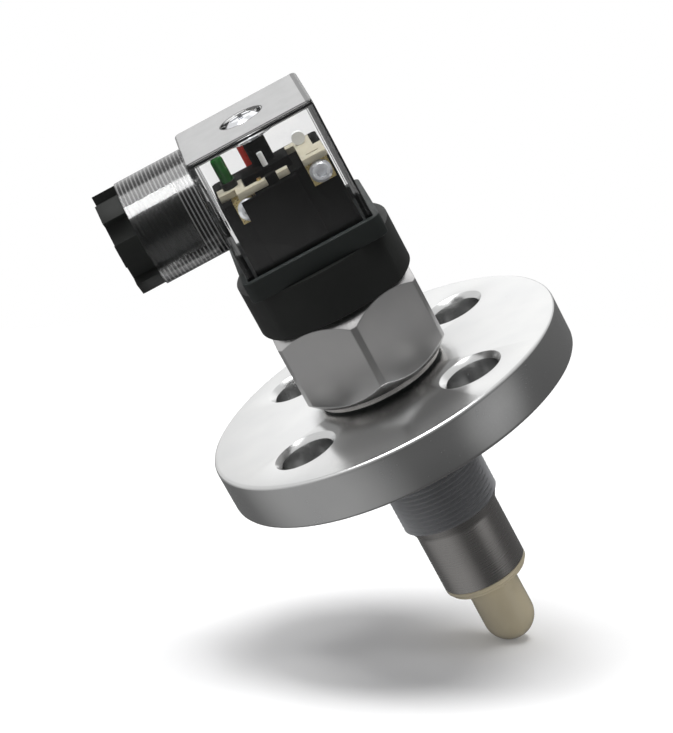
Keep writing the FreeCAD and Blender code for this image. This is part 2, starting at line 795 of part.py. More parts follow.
# Terminals: a square brass clamp with a cross hole for the wire, above a socket for its blade
def terminal(label, x, y, facing, clamp_x=0):
    """The clamp faces along -Y or +Y, and its socket stands over the blade at x, y."""
    low = insert_low + s("socket_foot")
    clamp_foot = clamp_low + s("fit")
    clamp_top = clamp_foot + s("clamp_height")
    wide = s("socket_width") / 2
    thin = s("socket_thickness") / 2
    arm = s("clamp_width") / 2
    if facing == "front":
        near_y, far_y = -face_y, -face_y + s("clamp_depth")
        socket = box(label + "_socket", x - thin, y - wide, low, x + thin, y + wide, clamp_top)
        slit = box(label + "_slit", x - half_thin, y - half_wide, low,
                   x + half_thin, y + half_wide, blade_top + s("slot_head_room"))
    else:
        near_y, far_y = face_y - s("clamp_depth") + s("fit") * 2, face_y
        socket = box(label + "_socket", x - wide, y - thin, low, x + wide, y + thin, clamp_foot)
        slit = box(label + "_slit", x - half_wide, y - half_thin, low,
                   x + half_wide, y + half_thin, blade_top + s("slot_head_room"))
    clamp = box(label + "_clamp", clamp_x - arm, near_y, clamp_foot, clamp_x + arm, far_y, clamp_top)
    middle = clamp_foot + s("clamp_height") / 2
    way = "Y" if facing == "front" else "-Y"
    start = near_y if facing == "front" else far_y
    drilled_hole = rod(label + "_thread", s("clamp_screw_radius"), clamp_x, start, middle,
                       s("clamp_screw_length") + s("screw_end_room"), way)
    wire_y = far_y - s("wire_hole_back") if facing == "front" else near_y + s("wire_hole_back")
    wire_hole = rod(label + "_wire_hole", s("wire_hole_radius"), clamp_x, wire_y,
                    clamp_foot + s("clamp_height") / 3, s("clamp_height"))
    joined = fuse(label + "_body", [socket, clamp])
    keep(cut(label + "_cut", joined, [slit, drilled_hole, wire_hole]), label)
    screw = new_body(label + "_screw")
    radius = s("clamp_screw_radius") - s("fit")
    head = s("clamp_head_radius")
    rise = s("clamp_head_height")
    sketch = new_sketch(screw, "XZ_Plane")
    draw_loop(sketch, [
        (0, -s("clamp_screw_length")),
        (radius, -s("clamp_screw_length")),
        (radius, 0),
        (head, 0),
        (head, rise * RIM_SHARE),
        (head - rise * (1 - RIM_SHARE), rise),
        (0, rise),
    ])
    body = screw.newObject("PartDesign::Revolution", label + "_screw_turned")
    body.Profile = sketch
    body.ReferenceAxis = (sketch, ["V_Axis"])
    body.Angle = 360
    key = s("clamp_key") / 2 / HEX_COS
    loop = []
    for k in range(6):
        a = math.radians(60 * k)
        loop.append((key * round(math.cos(a), 9), key * round(math.sin(a), 9)))
    pocket(screw, "XY_Plane", rise, s("clamp_key_depth"), loops=[loop])
    angle = 90 if facing == "front" else -90
    screw.Placement.Rotation = FreeCAD.Rotation(FreeCAD.Vector(1, 0, 0), angle)
    bind(screw, "Placement.Base.x", clamp_x)
    bind(screw, "Placement.Base.y", start)
    bind(screw, "Placement.Base.z", middle)


terminal("terminal_1", -spread_x, 0, "front", -s("clamp_left_x"))
terminal("terminal_2", spread_x, 0, "front", s("clamp_right_x"))
terminal("earth_terminal", 0, spread_y, "back")

# Third terminal: a plain socket behind the front block, with a solder pin through the carrier
foot = insert_low + s("socket_foot")
wide = s("socket_width") / 2
thin = s("socket_thickness") / 2
third_top = foot + s("front_socket_height")
third = box("third_socket", -wide, -spread_y - thin, foot, wide, -spread_y + thin, third_top)
third_pin = rod("third_pin", s("solder_pin_radius"), -s("solder_pin_offset"), -spread_y,
                third_top - s("overrun"),
                carrier_top + s("solder_pin_rise") + s("overrun") - third_top)
third_slit = box("third_slit", -half_wide, -spread_y - half_thin, foot,
                 half_wide, -spread_y + half_thin, blade_top + s("slot_head_room"))
keep(cut("third_cut", fuse("third_body", [third, third_pin]), [third_slit]), "terminal_3")

# Lamp carrier: a cream plate in front of the tower, with the wing that holds the lamp
left = new_body("lamp_carrier")
pad(left, "XY_Plane", insert_top, s("carrier_thickness"), loop=[
    (-s("front_block_left"), -s("carrier_strip_front")),
    (s("carrier_strip_right"), -s("carrier_strip_front")),
    (s("carrier_strip_right"), -s("carrier_strip_front") + s("carrier_strip_depth")),
    (-s("tower_left") - s("tower_wing"), -s("carrier_strip_front") + s("carrier_strip_depth")),
    (-s("tower_left") - s("tower_wing"), -s("carrier_left_back")),
    (-s("carrier_left"), -s("carrier_left_back")),
    (-s("carrier_left"), -s("carrier_left_front")),
    (-s("front_block_left"), -s("carrier_left_front")),
])
pocket(left, "XY_Plane", carrier_top, s("carrier_thickness") + 1,
       circles=[(s("solder_pin_radius") + s("fit"), -s("solder_pin_offset"), -spread_y)])

# Bridge carrier: the cream plate over the right terminal, with a bar behind the tower
right = new_body("bridge_carrier")
pad(right, "XY_Plane", insert_top, s("carrier_thickness"), loop=[
    (s("carrier_right_inner"), -s("carrier_right_front")),
    (s("carrier_right"), -s("carrier_right_front")),
    (s("carrier_right"), -s("carrier_right_back")),
    (s("carrier_bar_right") + s("bar_end_run"), -s("carrier_right_back")),
    (s("carrier_bar_right") + s("bar_end_run"), s("carrier_bar_back")),
    (s("carrier_bar_left"), s("carrier_bar_back")),
    (s("carrier_bar_left"), s("carrier_bar_front")),
    (s("carrier_right_inner"), s("carrier_bar_front")),
])
slot_mid = (s("carrier_right_inner") + s("carrier_right")) / 2
half_slot = s("carrier_slot_length") / 2
pocket(right, "XY_Plane", carrier_top, s("carrier_thickness") + s("overrun"), loops=[
    rectangle(slot_mid - half_slot, -s("carrier_slot_front"),
              slot_mid + half_slot, -s("carrier_slot_front") + s("carrier_slot_width")),
])

# Green lamp: a capsule in a black cup
lamp = new_body("green_lamp")
lamp_low = carrier_top
lamp_round = s("lamp_radius")
turn(lamp, [
    (0, lamp_low),
    (lamp_round, lamp_low),
    (lamp_round, lamp_low + s("lamp_length") - lamp_round),
    (0, lamp_low + s("lamp_length")),
], arcs={2: (0, lamp_low + s("lamp_length") - lamp_round, 1, "x")})
bind(lamp, "Placement.Base.x", s("lamp_x"))
bind(lamp, "Placement.Base.y", s("lamp_y"))
cup = ring("lamp_cup", lamp_round + 0.02, lamp_round + s("lamp_cup_wall"),
           lamp_low, lamp_low + s("lamp_cup_height"))
bind(cup, "Placement.Base.x", s("lamp_x"))
bind(cup, "Placement.Base.y", s("lamp_y"))

# Small electrical pieces that stand on the carriers and on the tower
tower_top = insert_top + s("tower_height")
fuse_length = boss_low - s("fuse_head_room") - carrier_top
keep(rod("fuse_tube", s("fuse_radius"), s("fuse_x"), s("fuse_y"), carrier_top, fuse_length),
     "red_sleeve")
keep(rod("resistor_tube", s("resistor_radius"), s("resistor_x"), s("resistor_y"), tower_top,
         s("resistor_length")), "resistor")
keep(rod("disc", s("disc_radius"), s("disc_x"), s("disc_y"), carrier_top + s("disc_radius"),
         s("disc_thickness"), "Y"), "suppressor_disc")

# Fixing screw: a domed head with a cross recess and a shank down to the threaded nut
screw = new_body("fixing_screw")
head_low = recess_floor + s("washer_height")
screw_low = nut_low + s("screw_end_gap")
head = s("head_radius")
turn(screw, [
    (0, screw_low),
    (s("screw_radius"), screw_low),
    (s("screw_radius"), head_low),
    (head, head_low),
    (head, head_low + s("head_height") * HEAD_RIM_SHARE),
    (head * CROWN_SHARE, head_low + s("head_height") * CROWN_RISE),
    (0, head_low + s("head_height")),
])
half_long = s("head_slot_length") / 2
half_narrow = s("head_slot_width") / 2
for long_x, long_y in ((half_long, half_narrow), (half_narrow, half_long)):
    pocket(screw, "XY_Plane", head_low + s("head_height") + s("head_slot_clear"),
           s("head_height") * SLOT_SHARE,
           loops=[rectangle(-long_x, -long_y, long_x, long_y)])
ring("screw_seal", s("screw_radius") + s("gland_gap"), head - s("screw_seal_inset"), recess_floor,
     head_low - s("slack"))

# Gland nut: a hollow threaded stem with a toothed head
nut = new_body("gland_nut")
stem = s("tube_bore") - s("gland_gap")
head_end = tube_mouth - s("gland_head_length")
floor_at = head_end + s("gland_floor")
stem_end = tube_mouth + s("gland_stem_length")
turn(nut, [
    (head_end, s("gland_mouth") + s("gland_lead_in")),
    (head_end + s("gland_lead_in"), s("gland_mouth")),
    (floor_at, s("gland_mouth")),
    (floor_at, s("gland_cavity")),
    (stem_end, s("gland_cavity")),
    (stem_end, stem),
    (tube_mouth - s("gland_seat"), stem),
    (tube_mouth - s("gland_seat"), s("gland_head_radius")),
    (head_end, s("gland_head_radius")),
], axis="H_Axis")
bind(nut, "Placement.Base.z", tube_height)
lands = new_sketch(nut, "YZ_Plane", head_end)
teeth = []
for k in range(LANDS):
    for share, step in ((0, 0), (0.5, 0), (0.5, 1), (1, 1)):
        a = FIRST_LAND + 2 * math.pi * (k + share) / LANDS
        reach = s("gland_head_radius") - s("gland_land_step") * step
        teeth.append((reach * round(math.cos(a), 9), reach * round(math.sin(a), 9)))
draw_loop(lands, teeth)
draw_circle(lands, s("gland_head_radius") + 2)
feature(nut, "Pocket", lands, s("gland_head_length"), reverse=True)

washer_low = floor_at + s("gland_gap")
washer_high = washer_low + s("gland_washer_height")
washer = ring("gland_washer", s("gland_washer_bore"), s("gland_cavity") - s("gland_gap"),
              washer_low, washer_high, axis="H_Axis")
bind(washer, "Placement.Base.z", tube_height)
grommet = ring("gland_grommet", s("cable_radius"), s("gland_cavity") - s("gland_gap"),
               washer_high, washer_high + s("grommet_length"), axis="H_Axis")
bind(grommet, "Placement.Base.z", tube_height)

doc.recompute()


def lead(label, x0, y0, x1, y1):
    """A wire with an S bend, from the board's top edge up to the foot of a blade."""
    low = FreeCAD.Vector(x0, y0, board_top.value)
    high = FreeCAD.Vector(x1, y1, blade_low.value)
    rise = FreeCAD.Vector(0, 0, 1)
    run = high - low
    run.z = 0
    span = run.Length
    run.normalize()
    bend = values["lead_bend"]
    lean = math.radians(values["lead_lean"])
    slope = (span - 2 * bend * (1 - math.cos(lean))) / math.sin(lean)
    straight = (high.z - low.z - 2 * bend * math.sin(lean) - slope * math.cos(lean)) / 2

    def along(angle, centre, side):
        return centre + run * (-side * bend * math.cos(angle)) + rise * (side * bend * math.sin(angle))

    first = low + rise * straight + run * bend
    second = high - rise * straight - run * bend
    turns = [[along(angle, centre, side) for angle in angles] for centre, side, angles in (
        (first, 1, (0, lean / 2, lean)), (second, -1, (lean, lean / 2, 0)))]
    path = Part.Wire([
        Part.makeLine(low, turns[0][0]), Part.Arc(*turns[0]).toShape(),
        Part.makeLine(turns[0][2], turns[1][0]), Part.Arc(*turns[1]).toShape(),
        Part.makeLine(turns[1][2], high),
    ])
    circle = Part.Wire([Part.makeCircle(values["lead_radius"], low, rise)])
    wire = doc.addObject("Part::Feature", label)
    wire.Shape = path.makePipeShell([circle], True, False)
    keep(wire, label)


lead("lead_1", -values["lead_offset"], 0, -spread_x.value, 0)
lead("lead_2", values["lead_offset"], 0, spread_x.value, 0)
lead("lead_3", -values["lead_offset"] / 3, 0, 0, -spread_y.value)
lead("earth_lead", values["lead_offset"] / 3, 0, 0, spread_y.value)
doc.recompute()

for thing in doc.Objects:
    if "Invalid" in thing.State or "Error" in thing.State:
        raise RuntimeError(thing.Name + " could not be built: " + str(thing.State))
for thing in pieces:
    shape = thing.Shape
    if shape.isNull() or not shape.isValid() or not shape.Solids:
        raise RuntimeError(thing.Label + " has no valid solid")
os.makedirs("parts", exist_ok=True)
for thing in pieces:
    thing.Shape.exportStep("parts/" + thing.Label + ".step")
    print(thing.Label, len(thing.Shape.Solids), round(thing.Shape.Volume, 1))
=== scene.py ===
# %% [markdown]
# # A level switch with a clear plug, dressed for its portrait
# The construction model arrives as a fixed frame: every solid already stands in its place, in
# metres, on the axis that runs from the probe's tip up to the plug. This lesson gives that frame
# its finishes, and remakes the pieces whose beauty is in small shapes, such as threads and rims.

# %% Load the frame
import json
import math

import bmesh
import bpy
from mathutils import Matrix, Vector


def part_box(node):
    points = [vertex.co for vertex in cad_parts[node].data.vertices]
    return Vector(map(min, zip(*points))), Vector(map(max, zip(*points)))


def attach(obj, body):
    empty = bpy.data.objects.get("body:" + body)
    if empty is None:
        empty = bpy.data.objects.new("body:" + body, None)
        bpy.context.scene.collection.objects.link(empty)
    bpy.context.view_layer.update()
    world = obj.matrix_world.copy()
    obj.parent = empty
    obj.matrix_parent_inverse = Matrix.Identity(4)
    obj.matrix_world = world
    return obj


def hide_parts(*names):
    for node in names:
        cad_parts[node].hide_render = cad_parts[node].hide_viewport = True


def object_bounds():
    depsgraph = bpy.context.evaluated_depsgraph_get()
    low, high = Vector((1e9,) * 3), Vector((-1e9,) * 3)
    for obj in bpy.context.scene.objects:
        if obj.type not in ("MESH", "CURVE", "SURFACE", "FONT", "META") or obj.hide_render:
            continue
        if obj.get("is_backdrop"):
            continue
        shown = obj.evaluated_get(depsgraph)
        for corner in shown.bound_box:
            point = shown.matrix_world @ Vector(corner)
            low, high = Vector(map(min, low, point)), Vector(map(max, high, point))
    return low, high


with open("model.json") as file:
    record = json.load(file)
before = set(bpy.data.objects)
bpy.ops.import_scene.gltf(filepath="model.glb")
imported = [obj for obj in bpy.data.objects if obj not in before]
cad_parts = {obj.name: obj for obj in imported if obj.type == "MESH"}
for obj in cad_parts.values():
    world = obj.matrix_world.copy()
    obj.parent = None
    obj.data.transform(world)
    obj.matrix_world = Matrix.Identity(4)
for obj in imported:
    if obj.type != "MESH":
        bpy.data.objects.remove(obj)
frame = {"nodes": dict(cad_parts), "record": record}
CAD_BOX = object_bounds()
MM = 0.001


def in_mm(values):
    """Metres as rounded millimetres, for printing."""
    return [round(value / MM, 1) for value in values]


print("frame:", len(frame["nodes"]), "nodes in", [in_mm(corner) for corner in CAD_BOX])

# %% [markdown]
# The picture looks at the switch from a little above, with the camera rolled so that the probe
# points down to the right. A long lens keeps the flange's ellipse calm. The camera's own right,
# up and backward directions are worked out first, because the floor and the light use them too.

# %% Camera
AZIMUTH, ELEVATION, ROLL = (math.radians(v) for v in (1.439, 19.705, -28.637))
DISTANCE = 514.51 * MM
SIDE_STEP, UP_STEP = -13.194 * MM, 10.217 * MM
FOCAL_PIXELS, FRAME_HEIGHT = 2582.0, 733
SENSOR = 36.0
NEAR_CLIP = 10 * MM

BACKWARD = Vector((math.sin(AZIMUTH) * math.cos(ELEVATION),
                   -math.cos(AZIMUTH) * math.cos(ELEVATION), math.sin(ELEVATION)))
LEVEL = Vector((math.cos(AZIMUTH), math.sin(AZIMUTH), 0))
RISE = BACKWARD.cross(LEVEL)
RIGHT = LEVEL * math.cos(ROLL) + RISE * math.sin(ROLL)
UP = RISE * math.cos(ROLL) - LEVEL * math.sin(ROLL)


def facing(right, up, backward, place):
    """A matrix that puts an object at a place, with its own X, Y and Z along three directions."""
    turned = Matrix((right, up, backward)).transposed()
    return Matrix.Translation(place) @ turned.to_4x4()


def stand(name, data, matrix):
    """Makes an object from its data and stands it in the scene."""
    made = bpy.data.objects.new(name, data)
    made.matrix_world = matrix
    bpy.context.scene.collection.objects.link(made)
    return made


lens = bpy.data.cameras.new("portrait_lens")
lens.sensor_width = SENSOR
lens.sensor_fit = "AUTO"
lens.lens = FOCAL_PIXELS * SENSOR / FRAME_HEIGHT
lens.clip_start = NEAR_CLIP
LENS_PLACE = RIGHT * SIDE_STEP + UP * UP_STEP + BACKWARD * DISTANCE
bpy.context.scene.camera = stand("portrait_camera", lens, facing(RIGHT, UP, BACKWARD, LENS_PLACE))
bpy.context.scene.view_settings.view_transform = "Standard"
print("camera:", round(lens.lens, 1), "mm lens at", in_mm(LENS_PLACE))

# %% [markdown]
# Materials are graphs of nodes, and graphs are hard to read as code. A small class wraps one
# socket, so that shader maths can be written as plain arithmetic: `1 - mask * 0.5` adds two Math
# nodes. Masks are numbers too, 0 or 1, so `*` between two of them means both and `|` means either.

# %% A socket that can do arithmetic
class Wire:
    """One output of a node. Arithmetic on it adds Math nodes."""

    def __init__(self, graph, socket):
        self.graph = graph
        self.socket = socket

    def maths(self, operation, first, second=0.0):
        return self.graph.node("ShaderNodeMath", {"operation": operation},
                               **{"0": first, "1": second})

    def __add__(self, other):
        return self.maths("ADD", self, other)

    def __sub__(self, other):
        return self.maths("SUBTRACT", self, other)

    def __rsub__(self, other):
        return self.maths("SUBTRACT", other, self)

    def __mul__(self, other):
        return self.maths("MULTIPLY", self, other)

    def __or__(self, other):
        return self.maths("MAXIMUM", self, other)

    def __gt__(self, other):
        return self.maths("GREATER_THAN", self, other)

    def __lt__(self, other):
        return self.maths("LESS_THAN", self, other)

    def __abs__(self):
        return self.maths("ABSOLUTE", self)

    def root(self):
        return self.maths("SQRT", self)

    def sine(self):
        return self.maths("SINE", self)

    __radd__ = __add__
    __rmul__ = __mul__


print("arithmetic ready")

# %% [markdown]
# A second class keeps one material's graph. One method makes every other kind of node: its
# settings come first, because they decide which sockets it has. Short methods stand on that one
# for the nodes that come back in every finish, such as noise, a ramp or a mix.

# %% A graph of nodes
def grey(shade):
    return (shade, shade, shade, 1)


WHITE = grey(1.0)
COLOUR_MIX = {"data_type": "RGBA"}
MIXED = 2


class Graph:
    """The nodes of one material or world."""

    def __init__(self, tree):
        self.tree = tree
        tree.nodes.clear()

    def node(self, kind, settings=None, output=0, **sockets):
        """Adds a node: its settings first, then its sockets, by name or by number."""
        made = self.tree.nodes.new(kind)
        for name, value in (settings or {}).items():
            if name == "stops":
                self.set_stops(made.color_ramp, value)
            else:
                setattr(made, name, value)
        for name, value in sockets.items():
            socket = made.inputs[int(name) if name.isdigit() else name.replace("_", " ")]
            if isinstance(value, Wire):
                self.tree.links.new(value.socket, socket)
            else:
                socket.default_value = value
        return Wire(self, made.outputs[output]) if made.outputs else None

    def set_stops(self, ramp, stops):
        while len(ramp.elements) < len(stops):
            ramp.elements.new(1.0)
        for element, (position, shade) in zip(ramp.elements, stops):
            element.position = position
            element.color = grey(shade)

    def ray(self, kind):
        """1 for rays of this kind and 0 for all others."""
        return self.node("ShaderNodeLightPath", output="Is " + kind + " Ray")

    def object_place(self):
        return self.node("ShaderNodeTexCoord", output="Object")

    def axes(self):
        """The three object coordinates, in millimetres."""
        split = self.node("ShaderNodeSeparateXYZ", Vector=self.object_place()).socket.node
        return [Wire(self, split.outputs[name]) * (1 / MM) for name in "XYZ"]

    def noise(self, size, detail=3.0, stretch=(1, 1, 1)):
        """Cloudy noise whose blotches are about this many millimetres across."""
        place = self.node("ShaderNodeMapping", Vector=self.object_place(), Scale=stretch)
        return self.node("ShaderNodeTexNoise", Vector=place, Scale=1 / (size * MM), Detail=detail)

    def ramp(self, factor, *stops):
        return self.node("ShaderNodeValToRGB", {"stops": stops}, Fac=factor)

    def blend(self, factor, first, second):
        """Mixes two colours."""
        return self.node("ShaderNodeMix", COLOUR_MIX, MIXED,
                         **{"0": factor, "6": first, "7": second})

    def either(self, factor, first, second):
        """Mixes two shaders."""
        return self.node("ShaderNodeMixShader", Fac=factor, **{"1": first, "2": second})


def material(name):
    """A new material and its empty graph."""
    made = bpy.data.materials.new(name)
    made.use_nodes = True
    return made, Graph(made.node_tree)


print("graph helpers ready")

# %% [markdown]
# The look of steel is the look of what it reflects, so the room matters more than any lamp. In
# the portrait the room is white above and behind the switch and dark below and in front of it:
# the flange's top shines, while its rim, the thread and the probe stay grey. The world asks what
# kind of ray is looking. The camera sees plain white. A ray that comes through the clear plug
# sees white if it still heads away from the lens, and dark if the plug bent it aside, which draws
# the plug's edges. Reflections see the graded room, and diffuse surfaces get one even, soft light.

# %% The room
CEILING = (0, 0.45, 0.89)
GRADE = ((0.0, 0.08), (0.14, 0.13), (0.30, 0.12), (0.55, 0.16), (0.66, 0.28), (0.75, 0.84),
         (1.0, 0.84))
PATCHES = {
    "left wall": ((-0.88, -0.30, -0.36), (0.78, 0.0), (0.97, 0.27)),
    "back wall": ((0.40, 0.85, 0.34), (0.90, 0.0), (0.97, 0.48)),
    "right wall": ((0.74, -0.58, -0.34), (0.95, 0.0), (1.0, 0.30)),
}
THROUGH_GRADE = ((0.80, 0.08), (0.95, 1.0))
SOFT_LIGHT = (0.34, 0.34, 0.345, 1)

world = bpy.data.worlds.new("studio")
bpy.context.scene.world = world
world.use_nodes = True
room = Graph(world.node_tree)
heading = room.node("ShaderNodeTexCoord", output="Generated")


def towards(axis):
    """How far a ray heads along a direction: 0 for away from it, 1 for straight along it."""
    share = room.node("ShaderNodeVectorMath", {"operation": "DOT_PRODUCT"}, "Value",
                      **{"0": heading, "1": tuple(Vector(axis).normalized())})
    return share * 0.5 + 0.5


graded = room.ramp(towards(CEILING), *GRADE)
for axis, *stops in PATCHES.values():
    graded = room.node("ShaderNodeMix", {**COLOUR_MIX, "blend_type": "ADD"}, MIXED,
                       **{"0": 1.0, "6": graded, "7": room.ramp(towards(axis), *stops)})
reflected = room.blend(room.ray("Diffuse"), graded, SOFT_LIGHT)
bent = room.blend(room.ray("Transmission"), reflected,
                  room.ramp(towards(-BACKWARD), *THROUGH_GRADE))
backdrop = room.node("ShaderNodeBackground", Color=room.blend(room.ray("Camera"), bent, WHITE))
room.node("ShaderNodeOutputWorld", Surface=backdrop)
print("room ready, with a", ", a ".join(PATCHES))

# %% [markdown]
# Under the probe the picture has a pale floor with one soft shadow. The floor is a round sheet
# through the tip's lowest point, tilted with the camera's roll. It is painted white, fades out
# towards its edge, and isn't seen from below or in reflections, so other views stay clean.

# %% Floor
FLOOR_TILT = math.radians(11.5)
FLOOR_RADIUS, FLOOR_SHIFT = 330 * MM, 40 * MM
NOSE_RADIUS = 5.37 * MM

floor_normal = (UP * math.cos(FLOOR_TILT) + BACKWARD * math.sin(FLOOR_TILT)).normalized()
floor_deep = floor_normal.cross(RIGHT)
nose_low, nose_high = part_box("probe_tip")
touch = Vector((0, 0, nose_low.z + NOSE_RADIUS)) - floor_normal * NOSE_RADIUS
floor_middle = touch - RIGHT * FLOOR_SHIFT + floor_deep * FLOOR_SHIFT


def link(name, shape):
    """Makes an object from finished mesh code."""
    mesh = bpy.data.meshes.new(name)
    shape.to_mesh(mesh)
    shape.free()
    return stand(name, mesh, Matrix())


sheet = bmesh.new()
bmesh.ops.create_circle(sheet, cap_ends=True, segments=96, radius=FLOOR_RADIUS)
floor = link("floor", sheet)
floor.matrix_world = facing(RIGHT, floor_deep, floor_normal, floor_middle)
floor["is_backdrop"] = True
print("floor touches the tip at", in_mm(touch))

# %% [markdown]
# The sheet's paint is a plain diffuse white. A little glow that only the camera sees lifts it to
# the white of the room behind it, without throwing any light on the switch.

# %% Floor paint
FADE = ((0.55, 0.0), (0.98, 1.0))
FLOOR_SHADE, FLOOR_GLOW = grey(0.8), grey(0.11)

floor_paint, paint = material("floor_paint")
from_middle = paint.node("ShaderNodeVectorMath", {"operation": "LENGTH"}, "Value",
                         **{"0": paint.object_place()})
fade = paint.ramp(from_middle * (1 / FLOOR_RADIUS), *FADE)
behind = paint.node("ShaderNodeNewGeometry", output="Backfacing")
hidden = behind | paint.ray("Glossy") * (1 - paint.ray("Transmission")) | fade
glow = paint.blend(paint.ray("Camera"), grey(0.0), FLOOR_GLOW)
painted = paint.node("ShaderNodeAddShader",
                     **{"0": paint.node("ShaderNodeBsdfDiffuse", Color=FLOOR_SHADE),
                        "1": paint.node("ShaderNodeEmission", Color=glow, Strength=1.0)})
paint.node("ShaderNodeOutputMaterial",
           Surface=paint.either(hidden, painted, paint.node("ShaderNodeBsdfTransparent")))
floor.data.materials.append(floor_paint)
print("floor fades from", FADE[0][0], "to", FADE[1][0], "of its radius")

# %% [markdown]
# One broad sun makes the shadow. It stands almost square above the floor, and reflections don't
# see it, because a sun this wide leaves false bright spots on polished faces. One large soft panel
# up to the left draws the bright streaks on steel and clear plastic.

# %% Lamps
SUN_STRENGTH, SUN_WIDTH = 2.6, math.radians(34)
SUN_BACKWARD, SUN_RIGHTWARD = (math.tan(math.radians(lean)) for lean in (2, 1.5))
PANEL_PLACE = (RIGHT * -220 + UP * 420 + BACKWARD * 160) * MM
PANEL_AIM = Vector((0, 0, 0.02))
PANEL_WIDE, PANEL_TALL, PANEL_WATTS = 300 * MM, 200 * MM, 1.0


def shining_from(direction):
    """A turn that lets a lamp shine from a direction towards the middle."""
    return direction.to_track_quat("Z", "Y").to_matrix().to_4x4()


def area_lamp(name, wide, tall, watts, matrix):
    """A soft rectangular lamp, which shines down its own Z axis."""
    lamp = bpy.data.lights.new(name, "AREA")
    lamp.shape = "RECTANGLE"
    lamp.size, lamp.size_y = wide, tall
    lamp.energy = watts
    return stand(name, lamp, matrix)


sun = bpy.data.lights.new("key", "SUN")
sun.energy = SUN_STRENGTH
sun.angle = SUN_WIDTH
sun_heading = (floor_normal + BACKWARD * SUN_BACKWARD + RIGHT * SUN_RIGHTWARD).normalized()
key = stand("key", sun, shining_from(sun_heading))
key.visible_glossy = False
area_lamp("top_panel", PANEL_WIDE, PANEL_TALL, PANEL_WATTS,
          Matrix.Translation(PANEL_PLACE) @ shining_from(PANEL_PLACE - PANEL_AIM))

# %% [markdown]
# Every finish starts from the same Principled shader. Its constants are set on its own sockets;
# only colour, roughness and bump vary over the surface. A helper makes the material, hands its
# graph to a short recipe, and remembers it by name.

# %% A finish from a recipe
NOISE_LOW, NOISE_HIGH = 0.3, 0.7
finishes = {}


def finish(name, recipe, **constants):
    """Keeps a material with a Principled shader, whose varying sockets come from a recipe."""
    made, graph = material(name)
    shader = graph.node("ShaderNodeBsdfPrincipled", **constants, **recipe(graph))
    graph.node("ShaderNodeOutputMaterial", Surface=shader)
    finishes[name] = made


def uneven(graph, noise, smooth, rough):
    """Roughness that wanders between two values."""
    return graph.ramp(noise, (NOISE_LOW, smooth), (NOISE_HIGH, rough))


def bump(graph, height, strength, depth):
    """Bends the light as if the surface rose by this many millimetres."""
    return graph.node("ShaderNodeBump", Height=height, Strength=strength, Distance=depth * MM)


print("finish helpers ready")

# %% [markdown]
# Worked metal is never one flat tone. Each recipe takes a light and a dark tone, the roughness
# where it is smooth and where it is rough, the size of its grain and the depth of that grain in
# millimetres. The tones drift slowly from one to the other, and the grain bends the reflections.

# %% Metals
METAL_DRIFT, GRAIN_DETAIL, FINE_SHARE, METAL_BUMP = 9, 2.0, 0.6, 0.5


def steel(light, dark, smooth, rough, grain, depth, stretch=(1, 1, 1)):
    """A recipe for worked metal: drifting tone, uneven polish and a fine grain."""
    def recipe(graph):
        drift = graph.noise(METAL_DRIFT)
        fine = graph.noise(grain, GRAIN_DETAIL, stretch)
        polish = fine * FINE_SHARE + drift * (1 - FINE_SHARE)
        return {
            "Base_Color": graph.blend(drift, light, dark),
            "Roughness": uneven(graph, polish, smooth, rough),
            "Normal": bump(graph, fine, METAL_BUMP, depth),
        }
    return recipe


METALS = {
    "satin_steel": ((0.72, 0.72, 0.71, 1), (0.64, 0.645, 0.65, 1), 0.20, 0.28, 0.35, 0.004),
    "sawn_steel": ((0.62, 0.61, 0.60, 1), (0.54, 0.54, 0.545, 1), 0.30, 0.40, 0.28, 0.012),
    "bright_screw": ((0.85, 0.86, 0.88, 1), (0.78, 0.79, 0.82, 1), 0.10, 0.20, 0.3, 0.004),
    "brass": ((0.72, 0.60, 0.30, 1), (0.60, 0.48, 0.22, 1), 0.22, 0.34, 0.4, 0.004),
    "tinned_brass": ((0.74, 0.72, 0.66, 1), (0.66, 0.63, 0.56, 1), 0.24, 0.36, 0.4, 0.004),
    "tinned_can": ((0.70, 0.71, 0.73, 1), (0.62, 0.63, 0.66, 1), 0.28, 0.38, 0.4, 0.006),
}
for name, values in METALS.items():
    finish(name, steel(*values), Metallic=1.0)
# Painted light: a paler, half-metal copy of bright_screw for the screws inside the hood.
finish("lit_screw", steel((0.92, 0.93, 0.95, 1), (0.84, 0.85, 0.88, 1), 0.16, 0.26, 0.3, 0.003),
       Metallic=0.55)
print(len(finishes), "metals:", ", ".join(finishes))

# %% [markdown]
# The probe's tube and its thread are one bar of steel, turned in one go. The tool leaves rings
# round the tube, so its noise is stretched about the axis, and the cut thread is greyer and much
# duller. The thread is found by its height on the object, so it needs no material of its own.

# %% Probe steel
THREAD_START, THREAD_FINISH = 0.0, -21.9
THREAD_TONE, THREAD_DULLER = (0.48, 0.485, 0.50, 1), 0.38


def turned(graph):
    """Turned steel whose thread is greyer and duller than the tube below it."""
    sockets = steel((0.50, 0.48, 0.46, 1), (0.42, 0.41, 0.405, 1), 0.24, 0.30, 1.2, 0.0005,
                    (0.3, 0.3, 4))(graph)
    height = graph.axes()[2]
    on_thread = (height < THREAD_START) * (height > THREAD_FINISH)
    sockets["Base_Color"] = graph.blend(on_thread, sockets["Base_Color"], THREAD_TONE)
    sockets["Roughness"] = sockets["Roughness"] + on_thread * THREAD_DULLER
    return sockets


finish("probe_steel", turned, Metallic=1.0)
print("thread finish from", THREAD_START, "down to", THREAD_FINISH, "mm")

# %% [markdown]
# Moulded plastics differ from metal in that their colour is their own. The mould leaves a faint
# texture, and handling leaves the polish uneven, so roughness drifts and the bump is fine. The
# black ones reflect less than the shader's usual share, and the lamp and the tip have a clear skin.

# %% Moulded plastics and rubber
PLASTIC_DRIFT, PLASTIC_BUMP = 6, 0.4


